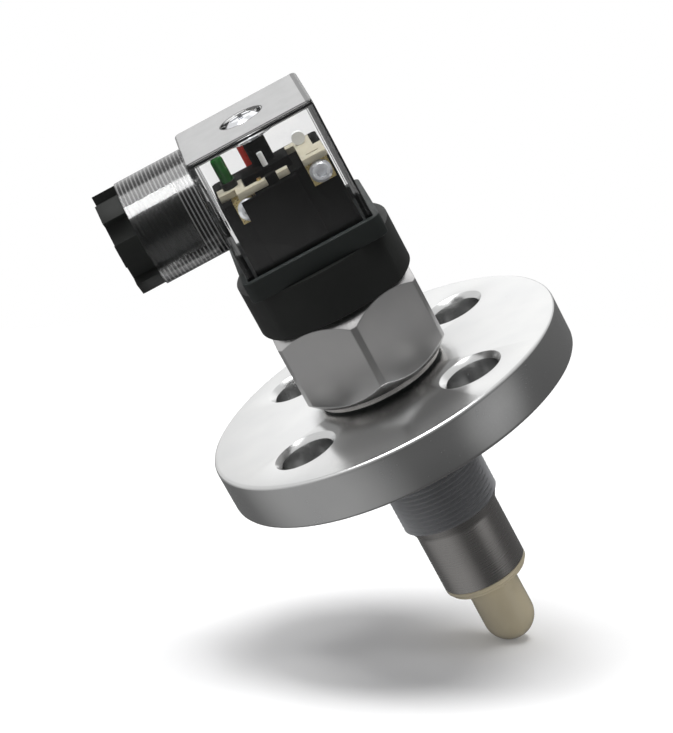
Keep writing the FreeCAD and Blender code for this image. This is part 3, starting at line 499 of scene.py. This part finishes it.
def moulded(light, dark, smooth, rough, grain, depth):
    """A recipe for a moulded plastic: almost one colour, with uneven polish and a fine skin."""
    def recipe(graph):
        drift = graph.noise(PLASTIC_DRIFT)
        skin = graph.noise(grain, GRAIN_DETAIL)
        return {
            "Base_Color": graph.blend(drift, light, dark),
            "Roughness": uneven(graph, drift, smooth, rough),
            "Normal": bump(graph, skin, PLASTIC_BUMP, depth),
        }
    return recipe


PLASTICS = {
    "black_plastic": ((0.017, 0.018, 0.017, 1), (0.012, 0.013, 0.012, 1), 0.46, 0.54, 0.18,
                      0.003),
    "insert_plastic": ((0.004, 0.004, 0.0037, 1), (0.0028, 0.0028, 0.0027, 1), 0.56, 0.64, 0.18,
                       0.001),
    "seal_rubber": ((0.019, 0.022, 0.021, 1), (0.014, 0.017, 0.016, 1), 0.48, 0.58, 0.25, 0.005),
    "cream_board": ((0.38, 0.35, 0.265, 1), (0.33, 0.30, 0.225, 1), 0.44, 0.54, 0.3, 0.003),
    "ptfe": ((0.86, 0.86, 0.84, 1), (0.80, 0.80, 0.78, 1), 0.35, 0.45, 0.3, 0.004),
    "red_plastic": ((0.52, 0.035, 0.022, 1), (0.43, 0.022, 0.015, 1), 0.26, 0.34, 0.3, 0.003),
    "white_ceramic": ((0.70, 0.70, 0.69, 1), (0.64, 0.64, 0.62, 1), 0.28, 0.36, 0.3, 0.003),
    "lead_insulation": ((0.55, 0.06, 0.04, 1), (0.45, 0.04, 0.03, 1), 0.34, 0.42, 0.3, 0.003),
    "tip_plastic": ((0.58, 0.51, 0.36, 1), (0.53, 0.465, 0.325, 1), 0.16, 0.24, 0.3, 0.001),
    "green_lens": ((0.010, 0.085, 0.012, 1), (0.006, 0.055, 0.008, 1), 0.14, 0.20, 0.6, 0.001),
}
SKINS = {
    "black_plastic": {"Specular_IOR_Level": 0.18}, "insert_plastic": {"Specular_IOR_Level": 0.03},
    "seal_rubber": {"Specular_IOR_Level": 0.25}, "tip_plastic": {"Coat_Weight": 0.5},
    "green_lens": {"Coat_Weight": 0.5},
}
for name, values in PLASTICS.items():
    finish(name, moulded(*values), **SKINS.get(name, {}))
print(len(PLASTICS), "plastics")

# %% [markdown]
# A circuit board is green because of its lacquer. The copper lanes under it show as paler stripes,
# so noise with no detail, stretched along one axis and cut at one level, is enough to draw them.

# %% Circuit board
LANE_WIDTH, LANE_STRETCH, LANE_LEVEL = 1.4, (1, 1, 0.2), 0.52
LACQUER, LACQUER_ON_COPPER = (0.01, 0.10, 0.04, 1), (0.03, 0.20, 0.08, 1)
LACQUER_ROUGHNESS, LANE_ROUGHER = 0.32, 0.1


def etched_board(graph):
    """Copper lanes show as paler stripes under a green lacquer."""
    lanes = graph.noise(LANE_WIDTH, 0.0, LANE_STRETCH) > LANE_LEVEL
    return {
        "Base_Color": graph.blend(lanes, LACQUER, LACQUER_ON_COPPER),
        "Roughness": LACQUER_ROUGHNESS + lanes * LANE_ROUGHER,
    }


finish("board_green", etched_board)
print(len(finishes), "finishes so far")

# %% [markdown]
# The hood is clear polycarbonate. Its edges bend the view sideways into the dark of the room, so
# they show as thin black lines, and its thread shows through the cable tube as black rings. A
# renderer draws such fine lines badly out of pure refraction. So masks made from the object's own
# coordinates say where each of them is: this cell only finds the places, and the next one paints
# them in as painted shade and painted light.

# %% Where the hood's lines are
HALF_X, HALF_Y, ROOF = (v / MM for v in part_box("hood")[1])
washer_low, washer_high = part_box("gland_washer")
TUBE_HEIGHT = (washer_low.z + washer_high.z) / 2
WALL, EDGE, ROOF_SKIN, TWO_FACES = 1.45, 0.40, 0.05, 1.5
UPPER_LINE, LOWER_LINE_TOP, LOWER_LINE_FOOT = 0.32, 0.55, 1.0
RECESS, RECESS_LINE, SIDE_LINE, LEFT_LINE = 4.375, 0.22, 0.5, 0.3
TUBE_GAP, TUBE_PITCH, RING_LEVEL = 0.1, 0.78, 0.4
RINGS_ABOVE, RINGS_BELOW, RINGS_NEAR = 7.9, -5.6, -17.2
SKIN_RADIUS_SQUARED = 103

clear, glass = material("clear_plastic")
x, y, z = glass.axes()
rise = z - TUBE_HEIGHT / MM
on_tube = x < -HALF_X - TUBE_GAP
on_box = 1 - on_tube
on_roof = (z > ROOF - ROOF_SKIN) * on_box
near_side = (abs(x) > HALF_X - EDGE) * on_box
near_front, near_roof = abs(y) > HALF_Y - EDGE, z > ROOF - EDGE
on_edge = (near_side + near_front + near_roof) > TWO_FACES
on_pillar = (abs(x) > HALF_X - WALL) * near_front * on_box

# Painted shade: thin black lines along the front's top edge, round the screw's recess and along the
# roof's front, back and left edges.
lower_line = (z > ROOF - LOWER_LINE_FOOT) * (z < ROOF - LOWER_LINE_TOP)
front_lines = near_front * ((z > ROOF - UPPER_LINE) | lower_line) * on_box
round_recess = abs((x * x + y * y).root() - RECESS) < RECESS_LINE
roof_lines = on_roof * (round_recess | (abs(y) > HALF_Y - SIDE_LINE) | (x < -HALF_X + LEFT_LINE))
on_line = front_lines | roof_lines

# Painted light and shade: the thread inside is real, but its look through the clear wall, dark
# rings with pale glints, is painted on the tube's skin on its upper and lower flanks and near the
# box.
on_ring = (x * (math.tau / TUBE_PITCH)).sine() > RING_LEVEL
painted_ring_zone = (rise > RINGS_ABOVE) | (rise < RINGS_BELOW) | (x > RINGS_NEAR)
on_band = on_tube * painted_ring_zone * ((y * y + rise * rise) > SKIN_RADIUS_SQUARED)
print("hood roof at", round(ROOF, 2), "mm, tube axis at", round(TUBE_HEIGHT / MM, 2), "mm")

# %% [markdown]
# Two shaders share the hood. One is clear, and its colour carries painted shade: it darkens where
# the wall turns away from the eye, and also on the pillars, in the cable tube and at the corners,
# standing in
# for the dark room that the wall bends into view. The other is a satin cover for what hides the
# view:
# the roof's matt, mottled grey, which is a painted reflection, the painted black lines and the
# painted dark and pale rings of the thread. A third, transparent one takes the shadow rays, because
# glass in a renderer throws a dark shadow that real clear plastic doesn't.

# %% Clear moulding
GRAZING_PAINTED_SHADE = ((0.0, 0.97), (0.50, 0.86), (0.70, 0.60), (0.88, 0.18), (1.0, 0.05))
PILLAR_PAINTED_SHADE, TUBE_PAINTED_SHADE, EDGE_PAINTED_SHADE = grey(0.13), grey(0.60), grey(0.02)
CLEAR_ROUGHNESS, TUBE_ROUGHER, COVER_ROUGHNESS, RINGS_SMOOTHER = 0.03, 0.10, 0.42, 0.29
ROOF_GRADE, RIGHT_BORDER, BORDER_TONE = ((0.35, 0.305), (0.65, 0.33)), 1.2, grey(0.10)
LINE_TONE, RING_DARK, RING_PALE = grey(0.008), grey(0.002), grey(0.16)
ROOF_COVER, BAND_COVER, MOTTLE = 0.96, 0.9, 3.5
SHADOW_TINT = (0.93, 0.94, 0.95, 1)

# Painted shade: the clear wall darkens as it turns from the eye, and more on the pillars, in the
# tube and at the corners.
clear_painted_shade = glass.ramp(glass.node("ShaderNodeLayerWeight", output="Facing", Blend=0.5), *GRAZING_PAINTED_SHADE)
for mask, shade in ((on_pillar, PILLAR_PAINTED_SHADE), (on_tube, TUBE_PAINTED_SHADE), (on_edge, EDGE_PAINTED_SHADE)):
    clear_painted_shade = glass.blend(mask, clear_painted_shade, shade)
clear_shader = glass.node("ShaderNodeBsdfPrincipled", Base_Color=clear_painted_shade, IOR=1.5,
                          Roughness=CLEAR_ROUGHNESS + on_tube * TUBE_ROUGHER,
                          Transmission_Weight=1.0)

# Painted reflection: a mottled grey over the roof for the room it mirrors at a slant, with painted
# shade along its right edge where the side wall shows through.
tone = glass.blend(x > HALF_X - RIGHT_BORDER, glass.ramp(glass.noise(MOTTLE), *ROOF_GRADE),
                   BORDER_TONE)
# Painted shade: the black lines of the edges.
tone = glass.blend(on_line, tone, LINE_TONE)
# Painted rings: dark for the thread's shade, pale for its glints.
tone = glass.blend(on_band, tone, glass.blend(on_ring, RING_DARK, RING_PALE))
cover_shader = glass.node("ShaderNodeBsdfPrincipled", Base_Color=tone,
                          Roughness=COVER_ROUGHNESS - on_tube * RINGS_SMOOTHER)

covered = on_roof * ROOF_COVER | on_line | on_band * BAND_COVER
hood_shader = glass.either(covered, clear_shader, cover_shader)
let_through = glass.node("ShaderNodeBsdfTransparent", Color=SHADOW_TINT)
glass.node("ShaderNodeOutputMaterial",
           Surface=glass.either(glass.ray("Shadow"), hood_shader, let_through))
finishes["clear_plastic"] = clear
print("clear plastic:", len(glass.tree.nodes), "nodes")

# %% [markdown]
# Turned pieces come from one wire: a few corners in the XZ plane, joined in order, with chosen
# corners rounded by a vertex bevel, and spun about the Z axis. The spin merges its last step with
# its first, and doubled points on the axis are merged afterwards.

# %% Turning
STEPS = 160
ROUNDING_STEPS = 4
SPUN_MERGE, COPY_MERGE = 0.001 * MM, 0.002 * MM


def wire(shape, points, closed=True):
    """Joins points (radius, height, corner rounding), in millimetres, and rounds the corners."""
    corners = [shape.verts.new((radius * MM, 0, height * MM)) for radius, height, _ in points]
    for first, second in zip(corners, corners[1:] + corners[:1] if closed else corners[1:]):
        shape.edges.new((first, second))
    for corner, (_, _, rounding) in zip(corners, points):
        if rounding:
            bmesh.ops.bevel(shape, geom=[corner], offset=rounding * MM, offset_type="OFFSET",
                            segments=max(3, round(rounding * ROUNDING_STEPS)), profile=0.5,
                            affect="VERTICES", material=-1, clamp_overlap=False)


def add(shape, other):
    """Moves all of another shape into this one."""
    store = bpy.data.meshes.new("store")
    other.to_mesh(store)
    other.free()
    shape.from_mesh(store)
    bpy.data.meshes.remove(store)


def spun(shape, points, closed=True, steps=STEPS):
    """Turns a wire of points about the Z axis, as an addition to the shape."""
    blank = bmesh.new()
    wire(blank, points, closed)
    bmesh.ops.spin(blank, geom=blank.verts[:] + blank.edges[:], cent=(0, 0, 0), axis=(0, 0, 1),
                   dvec=(0, 0, 0), angle=math.tau, steps=steps, use_merge=True)
    bmesh.ops.remove_doubles(blank, verts=blank.verts, dist=SPUN_MERGE)
    bmesh.ops.recalc_face_normals(blank, faces=blank.faces)
    add(shape, blank)


print("turning helpers ready")

# %% [markdown]
# Three more tools do for the mesh what a bench does for the part. A bevel takes the edge off every
# corner that is sharper than a given angle. A plane trims what lies beyond it, and reports the
# edges of the cut so that they can be filled. A boolean takes one shape out of another.

# %% Edges and cuts
ON_PLANE = 0.0005 * MM


def soften(shape, offset, sharp=25, segments=2):
    """Rounds every edge sharper than an angle by a small offset in millimetres."""
    edges = [e for e in shape.edges
             if len(e.link_faces) == 2 and e.calc_face_angle() > math.radians(sharp)]
    bmesh.ops.bevel(shape, geom=edges, offset=offset * MM, offset_type="OFFSET",
                    segments=segments, profile=0.5, affect="EDGES", material=-1,
                    clamp_overlap=True, harden_normals=False)


def trim(shape, place, away):
    """Cuts off what lies beyond a plane, and returns the edges of the cut."""
    cut = bmesh.ops.bisect_plane(shape, geom=shape.verts[:] + shape.edges[:] + shape.faces[:],
                                 dist=ON_PLANE, plane_co=place, plane_no=away,
                                 clear_outer=True, clear_inner=False)
    return [e for e in cut["geom_cut"] if isinstance(e, bmesh.types.BMEdge)]


def cut_away(target, tool):
    """Takes the tool's volume out of the target, and removes the tool."""
    cutter = target.modifiers.new("cut", "BOOLEAN")
    cutter.operation = "DIFFERENCE"
    cutter.solver = "EXACT"
    cutter.object = tool
    bpy.context.view_layer.update()
    view = target.evaluated_get(bpy.context.evaluated_depsgraph_get())
    carved = bpy.data.meshes.new_from_object(view)
    target.modifiers.clear()
    target.data = carved
    bpy.data.objects.remove(tool)


print("cutting helpers ready")

# %% [markdown]
# A finished piece is handed over to the frame. It gets a material, smooth shading that stops at
# real edges, the body it moves with, and the nodes it stands for. Big flat faces with rounded rims
# can be levelled too, so that the rims don't shade into them.

# %% Handing a piece over
def hand_over(piece, finish_name, slot, body, *nodes, crease=30, level=False):
    """Gives a piece its finish, its place on a body and the nodes that it stands for."""
    piece.data.materials.clear()
    piece.data.materials.append(finishes[finish_name])
    piece.data.shade_smooth()
    piece.data.set_sharp_from_angle(angle=math.radians(crease))
    if level:
        piece.modifiers.new("level_faces", "WEIGHTED_NORMAL").keep_sharp = True
    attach(piece, body)
    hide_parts(*nodes)
    print(piece.name + ":", len(piece.data.polygons), "faces for", ", ".join(nodes))


print("ready to hand pieces over")

# %% [markdown]
# The flange is a turned plate with four bolt holes. Its rim is softly rounded, and each hole has a
# crisp countersink on top. The plate is spun from a wire with rounded corners. One tool, spun the
# same way and repeated four times about the axis, cuts the holes.

# %% Flange
FLANGE_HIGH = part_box("flange")[1] / MM
FLANGE_RADIUS, FLANGE_TOP = FLANGE_HIGH.x, FLANGE_HIGH.z
BORE, RIM_ROUND, HOLE_ROUND, FLANGE_TURN = 10.65, 0.9, 0.14, -5.5
HOLES, HOLE_RADIUS, HOLE_CIRCLE, COUNTERSINK = 4, 5.5, 25.0, 1.04
FIRST_HOLE, PAST = math.radians(45 + FLANGE_TURN), 1

plate = bmesh.new()
spun(plate, [(BORE, 0, 0), (FLANGE_RADIUS, 0, RIM_ROUND), (FLANGE_RADIUS, FLANGE_TOP, RIM_ROUND),
             (BORE, FLANGE_TOP, 0)], steps=256)
flange = link("bolt_flange", plate)

drill = bmesh.new()
for k in range(HOLES):
    bit = bmesh.new()
    spun(bit, [(0, -PAST, 0), (HOLE_RADIUS, -PAST, 0), (HOLE_RADIUS, FLANGE_TOP - COUNTERSINK, 0),
               (HOLE_RADIUS + COUNTERSINK + PAST, FLANGE_TOP + PAST, 0),
               (0, FLANGE_TOP + PAST, 0)], closed=False, steps=96)
    angle = FIRST_HOLE + k * math.tau / HOLES
    bmesh.ops.translate(bit, verts=bit.verts, vec=(HOLE_CIRCLE * MM * math.cos(angle),
                                                   HOLE_CIRCLE * MM * math.sin(angle), 0))
    add(drill, bit)
cut_away(flange, link("drill", drill))
edges = bmesh.new()
edges.from_mesh(flange.data)
soften(edges, HOLE_ROUND, sharp=20)
edges.to_mesh(flange.data)
edges.free()
hand_over(flange, "satin_steel", "stainless", "switch", "flange", crease=40)

# %% [markdown]
# The sensor body was turned from hexagon bar. A lathe chamfers both ends of the hexagon, and
# where that cone meets a flat side it leaves a curved edge. Here the real order is turned round:
# a round blank with both cones is spun, and six flat cuts bring out the same curves.

# %% Hexagon
BODY_LOW, BODY_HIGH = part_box("sensor_body")
HEX_SIDES, HEX_HEIGHT, HEX_TOP = 6, 18.4, BODY_HIGH.z / MM
HEX_LOW = HEX_TOP - HEX_HEIGHT
HEX_HALF, HEX_CORNER, HEX_TOP_RADIUS, HEX_LOW_RADIUS = 15.0, 16.93, 14.3, 14.1
HEX_ROUND, CHAMBER = 0.16, 11.0

blank = bmesh.new()
spun(blank, [(CHAMBER, HEX_LOW, 0), (HEX_LOW_RADIUS, HEX_LOW, 0),
             (HEX_CORNER, HEX_LOW + HEX_CORNER - HEX_LOW_RADIUS, 0),
             (HEX_CORNER, HEX_TOP - HEX_CORNER + HEX_TOP_RADIUS, 0), (HEX_TOP_RADIUS, HEX_TOP, 0),
             (CHAMBER, HEX_TOP, 0)], steps=240)
for k in range(HEX_SIDES):
    side = math.radians(360 / HEX_SIDES * k)
    away = Vector((math.cos(side), math.sin(side), 0))
    bmesh.ops.contextual_create(blank, geom=trim(blank, away * HEX_HALF * MM, away))
bmesh.ops.recalc_face_normals(blank, faces=blank.faces)
soften(blank, HEX_ROUND, sharp=18)
hexagon = link("hexagon", blank)
hand_over(hexagon, "sawn_steel", "stainless", "switch", "sensor_body", crease=24)

# %% [markdown]
# A thread is a spin that climbs. One turn's outline, a shallow V, is spun through many turns with
# a small step along the axis each time, so every turn's end meets the next one's start. Two flat
# cuts trim it, and a plain core below the V's depth closes the tube behind it.

# %% Thread helper
TURN_STEPS, SPARE_TURNS = 72, 2
SHOULDER, V_RISES, V_TOPS, V_FALLS = 0.15, 0.38, 0.5, 0.62
INWARD = 1.3


def threaded(shape, crest, depth, low, high, pitch):
    """Adds a climbing thread between two heights, all in millimetres."""
    blank = bmesh.new()
    start = low - SPARE_TURNS * pitch
    turns = math.ceil((high - low) / pitch) + 2 * SPARE_TURNS
    root, shoulder = crest - depth, crest - depth * SHOULDER
    wire(blank, [(root, start, 0), (shoulder, start + pitch * V_RISES, 0),
                 (crest, start + pitch * V_TOPS, 0), (shoulder, start + pitch * V_FALLS, 0),
                 (root, start + pitch, 0)], closed=False)
    bmesh.ops.spin(blank, geom=blank.verts[:] + blank.edges[:], cent=(0, 0, 0), axis=(0, 0, 1),
                   dvec=(0, 0, pitch * MM / TURN_STEPS), angle=math.tau * turns,
                   steps=TURN_STEPS * turns, use_merge=False)
    bmesh.ops.remove_doubles(blank, verts=blank.verts, dist=COPY_MERGE)
    for height, way in ((low, -1), (high, 1)):
        rim = trim(blank, (0, 0, height * MM), (0, 0, way))
        lip = bmesh.ops.extrude_edge_only(blank, edges=rim)
        for vert in [v for v in lip["geom"] if isinstance(v, bmesh.types.BMVert)]:
            vert.co.xy *= (crest - depth * INWARD) * MM / vert.co.xy.length
    bmesh.ops.recalc_face_normals(blank, faces=blank.faces)
    lower = min(blank.faces, key=lambda face: face.calc_center_median().z)
    if lower.normal.z > 0:
        bmesh.ops.reverse_faces(blank, faces=blank.faces)
    add(shape, blank)


print("a turn of thread has", TURN_STEPS, "steps")

# %% [markdown]
# Below the hexagon the same bar goes on as a collar, a neck through the flange, the male pipe
# thread and the bright probe tube. One closed wire, inner wall and outer wall together, spins the
# hollow bar with a plain core where the thread is, and the climbing thread is added on top. The
# portrait shows the tube's end a little higher than the solid has it, so the tube is cut shorter.

# %% Shank with its thread
THREAD_CREST, THREAD_DEPTH, CORE_DEPTH, THREAD_PITCH = 10.48, 0.65, 0.5, 1.05
THREAD_LOW, THREAD_HIGH, RUNOUT, CORE_PAST = -21.6, -1.2, 2.3, 0.2
PROBE_RADIUS, PROBE_BORE, PROBE_SHORTER = 8.98, 7.4, 1.1
PROBE_LOW = BODY_LOW.z / MM + PROBE_SHORTER
COLLAR_LOW, COLLAR_RADIUS, NECK_RADIUS, RELIEF_RADIUS = 10.2, 13.1, 10.6, 9.7
SLANT = 0.5
END_ROUND, RUNOUT_ROUND, CORE_ROUND, COLLAR_ROUND = 0.2, 0.5, 0.2, 0.25

core = THREAD_CREST - CORE_DEPTH
shank = bmesh.new()
spun(shank, [(CHAMBER, HEX_LOW + SLANT, 0), (CHAMBER, HEX_LOW, 0), (PROBE_BORE, HEX_LOW, 0),
             (PROBE_BORE, PROBE_LOW, 0), (PROBE_RADIUS, PROBE_LOW, END_ROUND),
             (PROBE_RADIUS, THREAD_LOW - RUNOUT, RUNOUT_ROUND),
             (core, THREAD_LOW - CORE_PAST, CORE_ROUND), (core, THREAD_HIGH, 0),
             (RELIEF_RADIUS, THREAD_HIGH, 0), (RELIEF_RADIUS, 0, 0), (NECK_RADIUS, 0, 0),
             (NECK_RADIUS, COLLAR_LOW, 0), (COLLAR_RADIUS, COLLAR_LOW, COLLAR_ROUND),
             (COLLAR_RADIUS, HEX_LOW, 0), (COLLAR_RADIUS - SLANT, HEX_LOW + SLANT, 0)])
threaded(shank, THREAD_CREST, THREAD_DEPTH, THREAD_LOW, THREAD_HIGH, THREAD_PITCH)
shank_piece = link("threaded_shank", shank)
hand_over(shank_piece, "probe_steel", "stainless", "switch", "sensor_body", crease=28)

# %% [markdown]
# The tip is turned from a tough cream plastic. Its collar is as wide as the tube and stepped, with
# a small cove below it, and the nose is round. Rounding the wire's corners makes all of it.

# %% Probe tip
COLLAR_STEP, COLLAR_END, STEP_RADIUS = 1.0, 1.8, 8.45
NOSE, NOSE_END, SPIGOT_TOP = NOSE_RADIUS / MM, nose_low.z / MM, nose_high.z / MM
SPIGOT_GAP, PIN_BORE, PIN_DEPTH = 0.05, 1.05, 4.5
NOSE_ROUND, COVE_ROUND, STEP_ROUND, NOTCH_ROUND, RIM_SOFT = NOSE * 0.999, 1.2, 0.35, 0.12, 0.15

spigot, pin_foot = PROBE_BORE - SPIGOT_GAP, NOSE_END + PIN_DEPTH
nose = bmesh.new()
spun(nose, [(0, NOSE_END, 0), (NOSE, NOSE_END, NOSE_ROUND),
            (NOSE, PROBE_LOW - COLLAR_END, COVE_ROUND),
            (STEP_RADIUS, PROBE_LOW - COLLAR_END, STEP_ROUND),
            (STEP_RADIUS, PROBE_LOW - COLLAR_STEP, NOTCH_ROUND),
            (PROBE_RADIUS, PROBE_LOW - COLLAR_STEP, STEP_ROUND),
            (PROBE_RADIUS, PROBE_LOW, RIM_SOFT),
            (spigot, PROBE_LOW, 0), (spigot, SPIGOT_TOP, 0), (PIN_BORE, SPIGOT_TOP, 0),
            (PIN_BORE, pin_foot, 0), (0, pin_foot, 0)], closed=False)
tip = link("cream_tip", nose)
hand_over(tip, "tip_plastic", "tip_plastic", "switch", "probe_tip", crease=35)

# %% [markdown]
# The plug's black mouldings are right in outline already. A copy of each is merged from its loose
# triangles, its flat faces are joined again, and its edges are softened, because a moulding never
# has knife edges and the thin bright line along them is what makes plastic look real.

# %% Softened copies of mouldings
def copy_of(node, joined=1.0):
    """Merges a copy of a node's triangles and joins the flat ones."""
    shape = bmesh.new()
    shape.from_mesh(frame["nodes"][node].data)
    bmesh.ops.remove_doubles(shape, verts=shape.verts, dist=COPY_MERGE)
    bmesh.ops.dissolve_limit(shape, angle_limit=math.radians(joined), verts=shape.verts,
                             edges=shape.edges)
    return shape


def softened(node, name, offset, finish_name, slot, body="switch", segments=2):
    """A softened copy of a node, in its own finish."""
    shape = copy_of(node)
    soften(shape, offset, segments=segments)
    hand_over(link(name, shape), finish_name, slot, body, node)


softened("connector_base", "plug_base", 0.35, "black_plastic", "black_plastic", segments=3)
softened("profile_gasket", "rim_gasket", 0.3, "seal_rubber", "seal_rubber", segments=3)
softened("contact_insert", "contact_block", 0.12, "insert_plastic", "black_plastic")
softened("lamp_carrier", "lamp_plate", 0.12, "cream_board", "cream_board")
softened("bridge_carrier", "bridge_plate", 0.12, "cream_board", "cream_board")

# %% [markdown]
# On the real insert a short black rib stands up between the two cream plates and parts the cream
# strip in two. It is a cube, scaled, moved and softened. The domed screw that holds the hood gets
# the same softened copy as the mouldings, in bright metal.

# %% Rib and fixing screw
RIB_SIZE, RIB_PLACE, RIB_ROUND = (2.3, 1.7, 1.9), (-0.1, -9.25, 59.0), 0.15

rib = bmesh.new()
bmesh.ops.create_cube(rib, size=1.0)
bmesh.ops.scale(rib, vec=Vector(RIB_SIZE) * MM, verts=rib.verts)
bmesh.ops.translate(rib, vec=Vector(RIB_PLACE) * MM, verts=rib.verts)
soften(rib, RIB_ROUND)
rib_piece = link("strip_rib", rib)
rib_piece.data.materials.append(finishes["insert_plastic"])
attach(rib_piece, "switch")
print("strip_rib:", len(rib_piece.data.polygons), "faces")
softened("fixing_screw", "fixing_screw_bright", 0.1, "bright_screw", "plated_screw", body="fixing")

# %% [markdown]
# The hood's outline comes from the frame too. The real one has a thread inside its cable tube,
# whose grooves are seen through the clear wall as a stack of dark and bright rings. A tool with a
# row of V ridges, spun about the tube's axis, cuts the few that lie beyond the gland nut's stem.

# %% Clear hood
TUBE_MOUTH, TUBE_BORE = 27.4, 9.3
GROOVE_DEPTH, GROOVES, GROOVE_START = 0.36, 4, 10.4
GROOVE_OPENS, GROOVE_CLOSES, GROOVE_LAP, TOOL_INSIDE = 0.06, 0.94, 0.02, 0.4
ALONG_TUBE = Matrix.Translation((0, 0, TUBE_HEIGHT)) @ Matrix.Rotation(-math.pi / 2, 4, "Y")

tool_top = TUBE_MOUTH - GROOVE_START
lip, bottom, inside = TUBE_BORE - GROOVE_LAP, TUBE_BORE + GROOVE_DEPTH, TUBE_BORE - TOOL_INSIDE
outline = [(inside, tool_top - GROOVES * TUBE_PITCH, 0)]
for k in range(GROOVES):
    foot = tool_top - (GROOVES - k) * TUBE_PITCH
    outline += [(lip, foot + TUBE_PITCH * GROOVE_OPENS, 0), (bottom, foot + TUBE_PITCH * 0.5, 0),
                (lip, foot + TUBE_PITCH * GROOVE_CLOSES, 0)]
outline.append((inside, tool_top, 0))
ridges = bmesh.new()
spun(ridges, outline, steps=128)
bmesh.ops.transform(ridges, matrix=ALONG_TUBE, verts=ridges.verts)
hood = link("clear_hood", copy_of("hood", 0.2))
cut_away(hood, link("ridges", ridges))
hand_over(hood, "clear_plastic", "clear_plastic", "switch", "hood", crease=35, level=True)

# %% [markdown]
# A clear tube shows its roundness by the long pale streak that a strip lamp leaves on it. The strip
# hangs where the tube's upper flank mirrors it towards the lens. Clear plastic mirrors only about a
# twenty-fifth of what it sees, so the strip is bright, and light linking keeps it to the hood.

# %% Strip lamp for the clear tube
STREAK_LOW, STREAK_HIGH, STREAK_PLACE, TUBE_OUTSIDE = 34, 47, -20.5, 10.8
STRIP_DISTANCE, STRIP_LENGTH, STRIP_BRIGHTNESS = 350, 0.16, 58


def mirrored(angle):
    """Where the tube's flank sends a look from the lens: a place on the tube, and a direction."""
    out = Vector((0, -math.cos(math.radians(angle)), math.sin(math.radians(angle))))
    spot = Vector((STREAK_PLACE, 0, TUBE_HEIGHT / MM)) + out * TUBE_OUTSIDE
    back = (LENS_PLACE / MM - spot).normalized()
    return spot, (out * (2 * out.dot(back)) - back).normalized()


spot, aim = mirrored((STREAK_LOW + STREAK_HIGH) / 2)
spread = mirrored(STREAK_LOW)[1].angle(mirrored(STREAK_HIGH)[1])
strip_depth = 2 * STRIP_DISTANCE * MM * math.tan(spread / 2)
along_tube = (Vector((1, 0, 0)) - aim * aim.x).normalized()
strip = area_lamp("tube_strip", STRIP_LENGTH, strip_depth,
                  STRIP_BRIGHTNESS * STRIP_LENGTH * strip_depth,
                  facing(along_tube, aim.cross(along_tube), aim,
                         (spot + aim * STRIP_DISTANCE) * MM))
strip.visible_camera = strip.visible_diffuse = strip.visible_transmission = False
lit_by_strip = bpy.data.collections.new("lit_by_strip")
lit_by_strip.objects.link(hood)
strip.light_linking.receiver_collection = lit_by_strip
print("strip lamp", round(strip_depth / MM), "mm deep, heading", [round(v, 2) for v in aim])

# %% [markdown]
# The gland nut has a toothed head and a threaded stem that screws into the hood's tube. The head
# is kept from the frame and trimmed with a flat cut, and the stem gets a climbing thread.

# %% Gland nut
STEM_CREST, STEM_DEPTH, STEM_INNER, STEM_LENGTH, STEM_LAP = 9.2, 0.45, 7.1, 10.4, 0.02
HEAD_GAP, HEAD_ROUND = 0.06, 0.14

nut_shape = copy_of("gland_nut")
rims = trim(nut_shape, ((-TUBE_MOUTH - HEAD_GAP) * MM, 0, 0), (1, 0, 0))
bmesh.ops.bridge_loops(nut_shape, edges=rims)
soften(nut_shape, HEAD_ROUND)
stem_low, stem_high = TUBE_MOUTH - STEM_LENGTH, TUBE_MOUTH + STEM_LAP
stem_core = STEM_CREST - STEM_DEPTH
stem = bmesh.new()
threaded(stem, STEM_CREST, STEM_DEPTH, stem_low, stem_high, TUBE_PITCH)
spun(stem, [(STEM_INNER, stem_low, 0), (stem_core, stem_low, 0), (stem_core, stem_high, 0),
            (STEM_INNER, stem_high, 0)])
bmesh.ops.transform(stem, matrix=ALONG_TUBE, verts=stem.verts)
add(nut_shape, stem)
gland = link("toothed_gland", nut_shape)
hand_over(gland, "black_plastic", "black_plastic", "gland", "gland_nut")

# %% [markdown]
# The rest keeps its shape from the frame and only gets a finish. A node's slot in the record names
# it, apart from a few slots that share a metal. The screws inside the hood see little of the room,
# so theirs is a paler copy of the screw metal that is only half a metal and catches the soft light:
# painted light, which makes them look lit.

# %% Finishes for the nodes that stay
IN_HOOD = ("terminal_1_screw", "terminal_2_screw", "earth_terminal_screw")
SHARED = {"plated_screw": "bright_screw", "can_metal": "tinned_can", "stainless": "satin_steel"}
NODE_SLOTS = {part["node"]: part["material_slot"] for part in frame["record"]["subparts"]}
for name, node in frame["nodes"].items():
    slot = NODE_SLOTS[name]
    chosen = finishes["lit_screw" if name in IN_HOOD else SHARED.get(slot, slot)]
    for place in node.material_slots:
        place.material = chosen
print(len(NODE_SLOTS), "nodes finished")

# %% Sizes and finish
VISUAL_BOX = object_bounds()
print("sizes:", [in_mm(corner) for corner in VISUAL_BOX])
